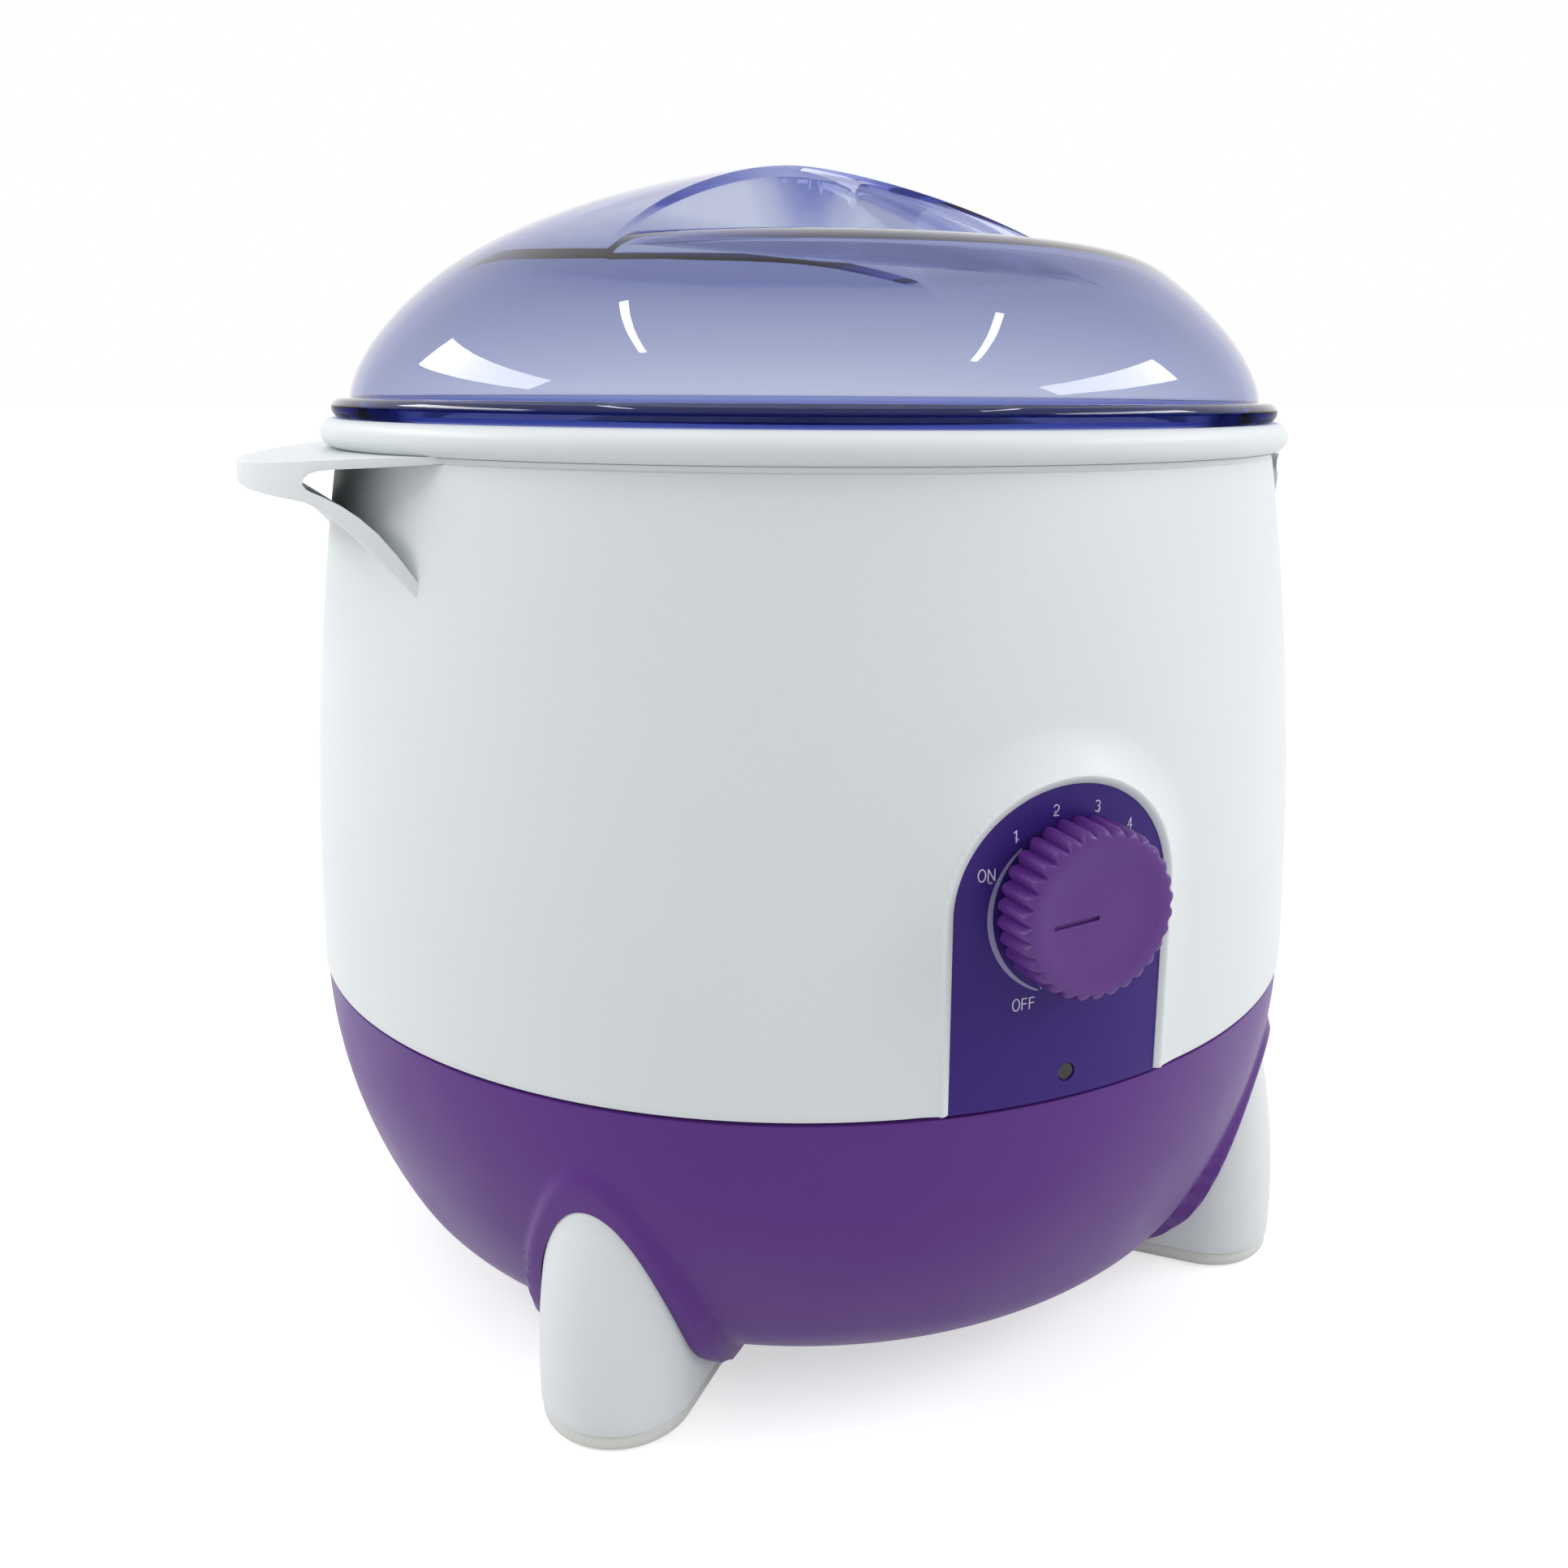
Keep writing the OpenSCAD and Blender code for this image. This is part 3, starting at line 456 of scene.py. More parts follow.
def soft_least(a, b, width):
    """The smaller of a and b, with the corner between them rounded over width."""
    h = max(width - abs(a - b), 0.0) / width
    return min(a, b) - h * h * width / 4


# ---- lid ------------------------------------------------------------------------


def dome_height(r, inset):
    """Height of the dome over the table at radius r, for a skin moved in by inset."""
    rest = max(0.0, 1 - (r / (DOME_R - inset)) ** 2)
    drop = DOME_DROP * abs(math.sin(math.pi * min(1.0, r / DOME_DROP_R))) ** 1.5
    return FLANGE_Z + (DOME_H - inset) * rest ** DOME_POWER - drop


def ridge_half(u, inset):
    """Half width of the grip ridge at a distance u along it."""
    return math.hypot(WAIST, FLARE * u) - min(inset, RIDGE_WALL_T) * FLARE_SLANT


def lid_height(r, azimuth, inset):
    """Height of the lid's skin: the dome, the recess floors and the ridge between them."""
    dome = dome_height(r, inset)
    crown = RECESS_CROWN * (1 - min(1.0, r / RECESS_R) ** 2)
    floor = soft_least(dome, RECESS_Z + crown - inset - 0.04 * max(0.0, r - RECESS_R), SHOULDER)
    u = r * math.cos(azimuth)
    v = abs(r * math.sin(azimuth))
    past_wall = (v - ridge_half(u, inset)) / FLARE_SLANT
    return dome + (floor - dome) * fade(past_wall, -WALL_SOFT, WALL_SOFT)


def wall_azimuth(r, offset, inset):
    """Azimuth, in the first quarter, where a ring of radius r meets the ridge's wall moved out by offset."""
    low, high = 0.0, math.pi / 2
    for _ in range(40):
        middle = (low + high) / 2
        reach = ridge_half(r * math.cos(middle), inset) + offset * FLARE_SLANT
        if r * math.sin(middle) < reach:
            low = middle
        else:
            high = middle
    return low


def quarter_azimuths(r, inset):
    """Azimuths of a ring's first quarter, crowded where the ridge's wall crosses it."""
    quarter = math.pi / 2
    count = LID_STEPS // 4
    even = [quarter * i / count for i in range(count + 1)]
    low = wall_azimuth(r, -WALL_ZONE, inset)
    high = wall_azimuth(r, WALL_ZONE, inset)
    outside, zone = 26, count - 52
    aligned = [low * i / outside for i in range(outside)]
    aligned += [low + (high - low) * i / zone for i in range(zone)]
    aligned += [high + (quarter - high) * i / outside for i in range(outside + 1)]
    weight = fade(r, 8.5 * MM, 13 * MM) * (1 - fade(r, 76 * MM, 90 * MM))
    return [e + (a - e) * weight for e, a in zip(even, aligned)]


def lid_radii(inset):
    """Radii of the lid's rings from the middle to the foot of the dome."""
    edge = DOME_R - inset
    inner = [0.8 * MM * i for i in range(1, 5)]
    inner += [inner[-1] + 0.17 * MM * i for i in range(1, 37)]
    inner += [inner[-1] + 0.6 * MM * i for i in range(1, 9)]
    middle = [inner[-1] + 1.8 * MM * i for i in range(1, 28)]
    start = math.acos(middle[-1] / edge)
    outer = [edge * math.cos(start * (1 - i / 26)) for i in range(1, 27)]
    return inner + middle + outer


def lid_piece():
    skin = {}
    for inset in (0.0, LID_T):
        skin[inset] = [(r, dome_height(r, inset)) for r in [0.0] + lid_radii(inset)]
    bead_at = DOME_R + 0.8 * LID_BEAD
    skirt_out = DOME_R - LID_T + 0.4 * MM - 1.0 * MM
    bead = arc((bead_at, LAND_Z + LID_BEAD), LID_BEAD, 96, -84, 14)
    skirt_foot = LAND_Z - 4.4 * MM
    foot = [(DOME_R - 0.6 * MM, LAND_Z), (skirt_out + 0.3 * MM, LAND_Z), (skirt_out, LAND_Z - 0.4 * MM)]
    foot += [(skirt_out, skirt_foot + 0.5 * MM), (skirt_out - 0.5 * MM, skirt_foot)]
    foot += [(skirt_out - LID_T + 0.5 * MM, skirt_foot), (skirt_out - LID_T, skirt_foot + 0.5 * MM)]
    foot += [(skirt_out - LID_T, LAND_Z + 1.2 * MM), (DOME_R - LID_T - 0.2 * MM, FLANGE_Z - 2.2 * MM)]
    lid = spun("lid_dome", skin[0.0] + bead + foot + skin[LID_T][::-1], LID_STEPS, False)
    quarters = {}
    for vertex in lid.data.vertices:
        x, y, z = vertex.co
        r = math.hypot(x, y)
        inset = next((t for t in skin if abs(z - dome_height(r, t)) < 0.002 * MM), None)
        azimuth = math.atan2(y, x)
        if inset is not None and z > FLANGE_Z - 0.001 * MM and r > 0.1 * MM:
            key = (round(r, 6), inset)
            if key not in quarters:
                quarters[key] = quarter_azimuths(r, inset)
            step = round(azimuth / TURN * LID_STEPS) % LID_STEPS
            quarter, part = divmod(step, LID_STEPS // 4)
            if quarter % 2:
                azimuth = math.pi * (quarter + 1) / 2 - quarters[key][LID_STEPS // 4 - part]
            else:
                azimuth = math.pi * quarter / 2 + quarters[key][part]
            z = lid_height(r, azimuth, inset)
        elif inset is not None and r <= 0.1 * MM:
            z = lid_height(r, azimuth, inset)
        vertex.co = (r * math.cos(azimuth + LID_TURN), r * math.sin(azimuth + LID_TURN), z)
    return done(lid, LID_TINT, "cover", ["lid"], 40)


# ---- housing wall, panel rim, ears and top ring ---------------------------------

EDGE_R = SEAM_R - (WALL_TOP - SEAM_Z) ** 2 / (2 * WALL_BOW)
EDGE_OUT = 1.2 * MM
ARCH_R = PLATE_W - 0.3 * MM
ARCH_Z = DIAL_Z - 1.2 * MM
RIM_RISE = 0.9 * MM
RIM_W = 1.45 * MM
RIM_STEP = 0.3 * MM
RIM_SWEEP = 9.0 * MM
RIM_END = RIM_W + RIM_SWEEP


def wall_radius(z):
    """Outer radius of the plain wall at a height."""
    return SEAM_R - max(0.0, z - SEAM_Z) ** 2 / (2 * WALL_BOW)


def outside_plate(side, z):
    """Distance outwards from the arched opening over the dial plate, and negative inside it."""
    if z > ARCH_Z:
        return math.hypot(side, z - ARCH_Z) - ARCH_R
    return abs(side) - ARCH_R


def rim_radius(distance, z):
    """Radius of the raised rim round the plate and of the hollow that runs from it into the wall."""
    wall = wall_radius(z)
    crest = PLATE_R + RIM_RISE
    if distance < RIM_W:
        rise = math.sin(math.pi / 2 * max(0.0, distance) / RIM_W)
        return PLATE_R + 0.12 * MM + (RIM_RISE - 0.12 * MM) * rise
    left = max(0.0, 1 - (distance - RIM_W) / RIM_SWEEP)
    hollow = wall + (crest - RIM_STEP - wall) * left ** 2.2
    return hollow + RIM_STEP * (1 - fade(distance, RIM_W, RIM_W + 0.5 * MM))


def wall_piece():
    """The barrel-shaped wall, swelling softly towards the rim of the dial plate."""
    rows = 92
    low, high = SEAM_Z + 0.35 * MM, WALL_TOP - 1.7 * MM
    outer = [(wall_radius(z), z) for z in [low + (high - low) * i / rows for i in range(rows + 1)]]
    foot = [(SEAM_R - 0.9 * MM, SEAM_Z), (SEAM_R - 0.3 * MM, SEAM_Z + 0.02 * MM)]
    foot.append((SEAM_R - 0.08 * MM, SEAM_Z + 0.13 * MM))
    flange = arc((EDGE_R + EDGE_OUT, WALL_TOP - 1.7 * MM), EDGE_OUT, 180, 96, 8)[1:]
    top = [(EDGE_R + 0.2 * MM, WALL_TOP - 0.35 * MM), (EDGE_R - SHELL_T, WALL_TOP - 0.35 * MM)]
    inner = [(wall_radius(z) - SHELL_T, z) for z in
             [WALL_TOP - 1 * MM - (WALL_TOP - 1 * MM - SEAM_Z) * i / 12 for i in range(13)]]
    wall = spun("wall_skin", foot + outer + flange + top + inner, 432, True)
    for vertex in wall.data.vertices:
        x, y, z = vertex.co
        r = math.hypot(x, y)
        azimuth = math.atan2(x, -y)
        crowded = azimuth * (0.42 + 0.58 * (abs(azimuth) / math.pi) ** 1.2)
        skin = abs(r - wall_radius(z)) < 0.01 * MM
        side = r * math.sin(crowded)
        if skin and abs(crowded) < 0.6:
            distance = outside_plate(side, z)
            if distance < RIM_END:
                if distance < 0.3 * MM:
                    r = PLATE_R - 2.6 * MM
                else:
                    r = rim_radius(distance, z) - 0.22 * MM * (1 - fade(distance, 4 * MM, 9.5 * MM))
        vertex.co = (r * math.sin(crowded), -r * math.cos(crowded), z)
    return done(wall, WHITE, "warmer", ["outer_housing"], 40)


def panel_rim_piece():
    """The raised rim round the dial plate, spun over the arch and drawn down both sides."""
    across = [0, 0.05, 0.2, 0.45, 0.75, 1.05, 1.25, 1.45, 1.6, 1.75, 1.95, 2.3, 2.8, 3.5, 4.5, 5.7, 7, 8.3,
              9.4, 10.35]
    section = [(ARCH_R + w * MM, 0, ARCH_Z) for w in across]
    section += [(ARCH_R + 10.35 * MM, 1 * MM, ARCH_Z), (ARCH_R, 1 * MM, ARCH_Z)]
    rim = outline("panel_rim", section, True)
    edit_all(rim)
    bpy.ops.mesh.spin(steps=72, angle=math.pi, center=(0, 0, ARCH_Z), axis=(0, 1, 0))
    bpy.ops.object.mode_set(mode="OBJECT")
    drop = ARCH_Z - SEAM_Z - 0.35 * MM
    edit_all(rim)
    bpy.ops.mesh.select_all(action="DESELECT")
    bpy.ops.object.mode_set(mode="OBJECT")
    for edge in rim.data.edges:
        ends = [rim.data.vertices[i].co for i in edge.vertices]
        edge.select = all(abs(end.z - ARCH_Z) < 0.001 * MM for end in ends)
    bpy.ops.object.mode_set(mode="EDIT")
    bpy.ops.mesh.select_mode(type="EDGE")
    for _ in range(12):
        bpy.ops.mesh.extrude_region_move(TRANSFORM_OT_translate={"value": (0, 0, -drop / 12)})
    bpy.ops.object.mode_set(mode="OBJECT")
    for vertex in rim.data.vertices:
        side, depth, z = vertex.co
        distance = outside_plate(side, z)
        if depth > 0.5 * MM:
            r = min(rim_radius(distance, z), PLATE_R) - 1.2 * MM
        elif distance < 0.01 * MM:
            r = PLATE_R - 0.3 * MM
        else:
            r = rim_radius(distance, z) - 0.08 * MM * fade(distance, 8 * MM, 10.2 * MM)
        vertex.co = (side, -math.sqrt(r * r - side * side), z)
    edit_all(rim)
    bpy.ops.mesh.fill_holes(sides=0)
    close_and_face_out()
    return done(rim, WHITE, "warmer", ["outer_housing"], 45)


EAR_REACH = 18.79 * MM
EAR_PLAN_R = 51 * MM
EAR_TIP_X = wall_radius(WALL_TOP - 4 * MM) + EAR_REACH
EAR_TOP_Z = WALL_TOP - 2.4 * MM
EAR_OUTER = ((0, 3.6), (0, 1.2), (0.4, 0.4), (1.6, 0), (10, -1), (20, -1.8), (38, -2.4), (38, 40),
             (29.6, 28.4), (25.6, 22.6), (22, 18), (18.6, 14), (15.2, 10.4), (11.6, 7.4), (9.2, 6.3),
             (4, 5.5), (1.4, 5.0), (0.4, 4.5))
EAR_GAP = ((9.2, 3.2), (9.4, 2.2), (10.2, 1.3), (11.6, 0.75), (14, 0.35), (20, -0.1), (38, -1.5), (38, 39.4),
           (28.6, 24.4), (26, 19.8), (22.8, 14.9), (20.2, 11.4), (17.5, 8.7), (15, 6.8), (12.2, 5.3),
           (10.6, 4.6), (9.7, 4.0))


def ear_slab(name, outline_points, reach):
    """The ear's side view drawn out along Y, with inward distances and drops in millimetres."""
    slab = outline(name, [(EAR_TIP_X - inward * MM, -reach, EAR_TOP_Z - drop * MM)
                          for inward, drop in outline_points], True)
    edit_all(slab)
    bpy.ops.mesh.edge_face_add()
    bpy.ops.mesh.extrude_region_move(TRANSFORM_OT_translate={"value": (0, 2 * reach, 0)})
    close_and_face_out()
    return slab


def ear_piece(name, side):
    """One moulded ear: a plate and a curved strut with an opening between them."""
    ear = ear_slab(name, EAR_OUTER, EAR_PLAN_R + 4 * MM)
    cut(ear, ear_slab("ear_opening", EAR_GAP, EAR_PLAN_R + 8 * MM))
    clear_selection()
    bpy.ops.mesh.primitive_cylinder_add(vertices=160, radius=EAR_PLAN_R, depth=80 * MM,
                                        location=(EAR_TIP_X - EAR_PLAN_R, 0, WALL_TOP - 10 * MM))
    cut(ear, bpy.context.object, "INTERSECT")
    modify(ear, "BEVEL", width=0.7 * MM, segments=3, limit_method="ANGLE",
           angle_limit=math.radians(38), use_clamp_overlap=True)
    inside = [(0, SEAM_Z)] + [(wall_radius(z) - SHELL_T / 2, z) for z in
                              [SEAM_Z + (WALL_TOP - 1 * MM - SEAM_Z) * i / 16 for i in range(17)]]
    inside += [(EDGE_R + 0.4 * MM, WALL_TOP - 0.6 * MM), (EDGE_R + 0.4 * MM, WALL_TOP + 9 * MM)]
    inside.append((0, WALL_TOP + 9 * MM))
    cut(ear, spun("ear_inside", inside, 200, False))
    if side < 0:
        pick(ear)
        bpy.ops.transform.mirror(constraint_axis=(True, False, False), center_override=(0, 0, 0))
        bpy.ops.object.transform_apply(location=True, rotation=True, scale=True)
        edit_all(ear)
        close_and_face_out()
    return done(ear, WHITE, "warmer", ["outer_housing"], 32)


BEAD_R = 2.9 * MM
BEAD_AT = EDGE_R + EDGE_OUT + 2 * MM - BEAD_R
THROAT_R = DOME_R - LID_T - 0.3 * MM


def ring_piece():
    """The ring on the wall's top edge: a round bead, the land for the lid and the shelf inside."""
    inner = THROAT_R + 0.7 * MM
    shelf_z = LAND_Z - 7.8 * MM
    skirt_r = EDGE_R - SHELL_T - 0.25 * MM
    bead = arc((BEAD_AT, WALL_TOP + BEAD_R - 0.5 * MM), BEAD_R, -88, 82, 22)
    profile = [(skirt_r, WALL_TOP - 12 * MM), (skirt_r, WALL_TOP - 0.1 * MM)]
    profile.append((EDGE_R + 0.3 * MM, WALL_TOP - 0.1 * MM))
    profile += [(BEAD_AT - 0.4 * MM, WALL_TOP - 0.35 * MM)] + bead
    profile += [(BEAD_AT - 0.6 * MM, LAND_Z), (inner + 0.4 * MM, LAND_Z), (inner + 0.1 * MM, LAND_Z - 0.1 * MM)]
    profile += [(inner, LAND_Z - 0.4 * MM), (inner, shelf_z + 0.2 * MM), (inner - 0.2 * MM, shelf_z)]
    profile += [(inner - 8 * MM + 0.3 * MM, shelf_z), (inner - 8 * MM, shelf_z - 0.3 * MM)]
    profile += [(inner - 8 * MM, shelf_z - 2.2 * MM), (inner, shelf_z - 2.2 * MM), (inner, WALL_TOP - 12 * MM)]
    ring = spun("rim_ring", profile, 320, True)
    return done(ring, WHITE, "warmer", ["top_ring"], 35)


# ---- bowl with flared leg openings ----------------------------------------------

BOWL_R = 104 * MM
BOWL_TURN = 28
CORNER_R = 25 * MM
BASE_R = SEAM_R - 0.4 * MM
SIDE_C = (BASE_R - BOWL_R, SEAM_Z)
CORNER_C = (SIDE_C[0] + (BOWL_R - CORNER_R) * math.cos(math.radians(BOWL_TURN)),
            SIDE_C[1] - (BOWL_R - CORNER_R) * math.sin(math.radians(BOWL_TURN)))
BOWL_Z = CORNER_C[1] - CORNER_R
LEG_AT = 97.4 * MM
LEG_R = 14.9 * MM
LEG_BELLY = 7.5 * MM
LEG_RUN = 14 * MM
LEG_TOP = 50 * MM
LEG_WIDEST = 9 * MM
CUFF_OUT = 3.6 * MM
CUFF_THIN = 2.3 * MM
CUFF_FOOT = 7.0 * MM
LEG_GAP = 0.25 * MM


def leg_radius(z):
    """Radius of a leg's round outer end at a height."""
    return LEG_R - ((z - LEG_WIDEST) / LEG_TOP) ** 2 * LEG_BELLY


def leg_distance(x, y, z):
    """Level distance from the side of the nearest leg at a height, and negative inside it."""
    r = math.hypot(x, y)
    azimuth = math.degrees(math.atan2(y, x))
    off = min(((azimuth - a + 180) % 360 - 180 for a in LEG_ANGLES), key=abs)
    along = r * math.cos(math.radians(off))
    across = r * math.sin(math.radians(off))
    run = min(max(along, LEG_AT - LEG_RUN), LEG_AT)
    return math.hypot(along - run, across) - leg_radius(max(z, LEG_WIDEST))


def cuff_height(distance, z):
    """How far the bowl's skin stands out around a leg."""
    upward = fade(z, 14 * MM, 46 * MM)
    crest = (2.6 - 1.2 * upward) * MM
    skirt = (2.6 - 0.8 * upward) * MM
    fall = 1 - fade(distance, crest, crest + skirt)
    swell = fade(distance, -6 * MM, crest) * 0.35 + 0.65
    ends = fade(z, CUFF_FOOT - 1.0 * MM, CUFF_FOOT + 1.0 * MM) * (1 - fade(z, 52 * MM, 58 * MM))
    return (CUFF_OUT - CUFF_THIN * upward) * swell * fall * ends


def leg_body(name, levels, low, high):
    """An upright leg along +X: a spun barrel of these (radius, height) levels, drawn out inwards."""
    body = spun(name, [(0, low)] + levels + [(0, high)], 72, False)
    for vertex in body.data.vertices:
        inward = vertex.co.x < -0.001 * MM
        vertex.co.x += LEG_AT - (LEG_RUN if inward else 0)
    return body


def turned_to(piece, angle):
    """Turns a piece round the axis and applies the turn."""
    pick(piece)
    piece.rotation_euler = (0, 0, math.radians(angle))
    bpy.ops.object.transform_apply(rotation=True)
    return piece


def leg_tool():
    """The space that a leg and its gap take out of the bowl."""
    levels = [(leg_radius(max(z, LEG_WIDEST)) + LEG_GAP, z)
              for z in [-5 * MM + (LEG_TOP + 5 * MM) * i / 20 for i in range(21)]]
    return leg_body("leg_socket", levels, -5 * MM, LEG_TOP)


def bowl_piece():
    side_rings, corner_rings = 60, 34
    outer = [(SIDE_C[0] + BOWL_R * math.cos(a), SIDE_C[1] - BOWL_R * math.sin(a))
             for a in [math.radians(BOWL_TURN) * i / side_rings for i in range(side_rings + 1)]]
    outer += arc(CORNER_C, CORNER_R, -BOWL_TURN - 1.8, -90, corner_rings)
    bottom = [(CORNER_C[0] * (1 - i / 10), BOWL_Z) for i in range(1, 11)]
    groove = [(BASE_R - 1.6 * MM, SEAM_Z + 0.4 * MM), (BASE_R - 1.6 * MM, SEAM_Z - 0.6 * MM),
              (BASE_R - 0.3 * MM, SEAM_Z - 0.66 * MM), (BASE_R - 0.08 * MM, SEAM_Z - 0.8 * MM)]
    lift = SHELL_T
    inner = [(0, BOWL_Z + lift), (CORNER_C[0], BOWL_Z + lift)]
    inner += arc(CORNER_C, CORNER_R - lift, -90, -BOWL_TURN, 12)[1:]
    inner += [(SIDE_C[0] + (BOWL_R - lift) * math.cos(a), SIDE_C[1] - (BOWL_R - lift) * math.sin(a))
              for a in [math.radians(BOWL_TURN) * (1 - i / 10) for i in range(1, 11)]]
    bowl = spun("bowl_skin", groove + outer[1:] + bottom + inner, 448, True)
    for vertex in bowl.data.vertices:
        x, y, z = vertex.co
        r = math.hypot(x, y)
        azimuth = math.degrees(math.atan2(y, x))
        off = (azimuth + 90) % 90 - 45
        spread = 45 * math.copysign(abs(off / 45) ** 2.6, off) * 0.7 + off * 0.3
        azimuth = math.radians(azimuth - off + spread)
        x, y = r * math.cos(azimuth), r * math.sin(azimuth)
        side = math.hypot(r - SIDE_C[0], SEAM_Z - z)
        corner = math.hypot(r - CORNER_C[0], z - CORNER_C[1])
        out = Vector((0, 0))
        if abs(side - BOWL_R) < 0.01 * MM:
            out = Vector((r - SIDE_C[0], z - SEAM_Z)).normalized()
        elif abs(corner - CORNER_R) < 0.01 * MM and r > CORNER_C[0]:
            out = Vector((r - CORNER_C[0], z - CORNER_C[1])).normalized()
        rise = cuff_height(leg_distance(x, y, z), z)
        grown = (r + out.x * rise) / r if r > 0 else 1
        vertex.co = (x * grown, y * grown, z + out.y * rise)
    for angle in LEG_ANGLES:
        cut(bowl, turned_to(leg_tool(), angle))
    return done(bowl, PURPLE, "warmer", ["base_shell"], 40)


def leg_pieces():
    """Four barrel-shaped legs and the pads under them."""
    top = LEG_TOP - 0.3 * MM
    foot = PAD_H
    side_low = foot + 0.45 * MM
    for angle, corner in zip(LEG_ANGLES, LEG_NAMES):
        levels = [(leg_radius(foot) - 0.45 * MM, foot), (leg_radius(foot) - 0.12 * MM, foot + 0.12 * MM)]
        levels += [(leg_radius(z), z) for z in [side_low + (top - side_low) * i / 24 for i in range(25)]]
        leg = leg_body("leg_post_" + corner, levels, foot, top)
        done(turned_to(leg, angle), WHITE, "warmer", ["leg_" + corner], 40)
        edge = leg_radius(0) - 0.2 * MM
        levels = [(edge - 1.5 * MM, 0)] + arc((edge - 1.5 * MM, 1.5 * MM), 1.5 * MM, -72, 0, 6)
        levels += [(edge, foot - 0.35 * MM), (edge - 0.12 * MM, foot - 0.1 * MM), (edge - 0.5 * MM, foot)]
        pad = leg_body("leg_pad_" + corner, levels, 0, foot)
        modify(pad, "BEVEL", width=0.3 * MM, segments=2, limit_method="ANGLE", angle_limit=math.radians(50))
        done(turned_to(pad, angle), PAD, "warmer", ["foot_pad_" + corner], 50)


# ---- dial knob and print --------------------------------------------------------

KNOB_R = 15.2 * MM
KNOB_BACK = -knob_high.y
KNOB_FACE = -knob_low.y
KNOB_RIBS = 30
RIB_DEPTH = 1.3 * MM


def knob_piece():
    """The knob: ribbed skirt, soft edge and a slightly dished face with a pointer groove."""
    per_rib = 10
    count = KNOB_RIBS * per_rib
    length = KNOB_FACE - KNOB_BACK
    levels = [(0.0, 0.5, 1.0), (0.03, 0.1, 1.0), (0.12, 0.0, 1.0), (0.8, 0.15, 1.0), (0.9, 0.4, 0.9),
              (0.96, 0.8, 0.6), (0.99, 1.3, 0.25), (1.0, 2.0, 0.0)]
    mesh = bmesh.new()
    loops = []
    for part, inward, rib_depth in levels:
        loop = []
        for i in range(count):
            a = TURN * i / count
            wave = abs(math.sin(KNOB_RIBS * a / 2))
            r = KNOB_R - inward * MM - RIB_DEPTH * rib_depth * (1 - wave)
            loop.append(mesh.verts.new((r * math.cos(a), -KNOB_BACK - part * length, DIAL_Z + r * math.sin(a))))
        loops.append(loop)
    for r, sink in ((11.4, 0.0), (10.9, 0.15), (6.0, 0.2)):
        loops.append([mesh.verts.new((r * MM * math.cos(TURN * i / count), -KNOB_FACE + sink * MM,
                                      DIAL_Z + r * MM * math.sin(TURN * i / count))) for i in range(count)])
    for lower, upper in zip(loops, loops[1:]):
        for i in range(count):
            j = (i + 1) % count
            mesh.faces.new((lower[i], lower[j], upper[j], upper[i]))
    mesh.faces.new(loops[0][::-1])
    mesh.faces.new(loops[-1])
    bmesh.ops.recalc_face_normals(mesh, faces=mesh.faces)
    data = bpy.data.meshes.new("knob_grip")
    mesh.to_mesh(data)
    mesh.free()
    knob = bpy.data.objects.new("knob_grip", data)
    bpy.context.scene.collection.objects.link(knob)
    pointer = math.radians(184)
    groove_mid = 4.9 * MM
    clear_selection()
    bpy.ops.mesh.primitive_cube_add(size=1, location=(
        groove_mid * math.cos(pointer), -KNOB_FACE, DIAL_Z + groove_mid * math.sin(pointer)))
    groove = bpy.context.object
    groove.scale = (8.8 * MM, 1.9 * MM, 0.8 * MM)
    groove.rotation_euler = (0, -pointer, 0)
    bpy.ops.object.transform_apply(location=True, rotation=True, scale=True)
    modify(groove, "BEVEL", width=0.33 * MM, segments=3)
    cut(knob, groove)
    done(knob, KNOB, "dial", ["control_knob"], 30)


PRINT_R = PLATE_R + 0.02 * MM
PRINT_T = 0.07 * MM


def wrap_on_plate(mesh, thickness=PRINT_T):
    """Lays a flat mesh (x, y, z as side, height, thickness) round the dial plate."""
    for vertex in mesh.vertices:
        side, height, depth = vertex.co
        r = PRINT_R + (thickness if depth > 0 else 0)
        a = side / PLATE_R
        vertex.co = (r * math.sin(a), -r * math.cos(a), height)


def flat_strip(name, points, widths):
    """A printed stroke along points, with its own width at each."""
    mesh = bmesh.new()
    rows = []
    for i, (x, z) in enumerate(points):
        before = points[max(0, i - 1)]
        after = points[min(len(points) - 1, i + 1)]
        run = Vector((after[0] - before[0], after[1] - before[1])).normalized()
        side = Vector((-run.y, run.x)) * widths[i] / 2
        row = []
        for s in (-1, 1):
            for depth in (0, 1):
                row.append(mesh.verts.new((x + s * side.x, z + s * side.y, depth)))
        rows.append(row)
    for a, b in zip(rows, rows[1:]):
        for i, j in ((0, 1), (1, 3), (3, 2), (2, 0)):
            mesh.faces.new((a[i], a[j], b[j], b[i]))
    mesh.faces.new((rows[0][0], rows[0][2], rows[0][3], rows[0][1]))
    mesh.faces.new((rows[-1][0], rows[-1][1], rows[-1][3], rows[-1][2]))
    bmesh.ops.recalc_face_normals(mesh, faces=mesh.faces)
    data = bpy.data.meshes.new(name)
    mesh.to_mesh(data)
    mesh.free()
    piece = bpy.data.objects.new(name, data)
    bpy.context.scene.collection.objects.link(piece)
    return piece


def ellipse(x, z, half_w, half_h, start, end, count):
    """Points of an elliptical stroke, its angles in degrees."""
    return [(x + half_w * math.cos(a), z + half_h * math.sin(a))
            for a in [math.radians(start + (end - start) * i / count) for i in range(count + 1)]]


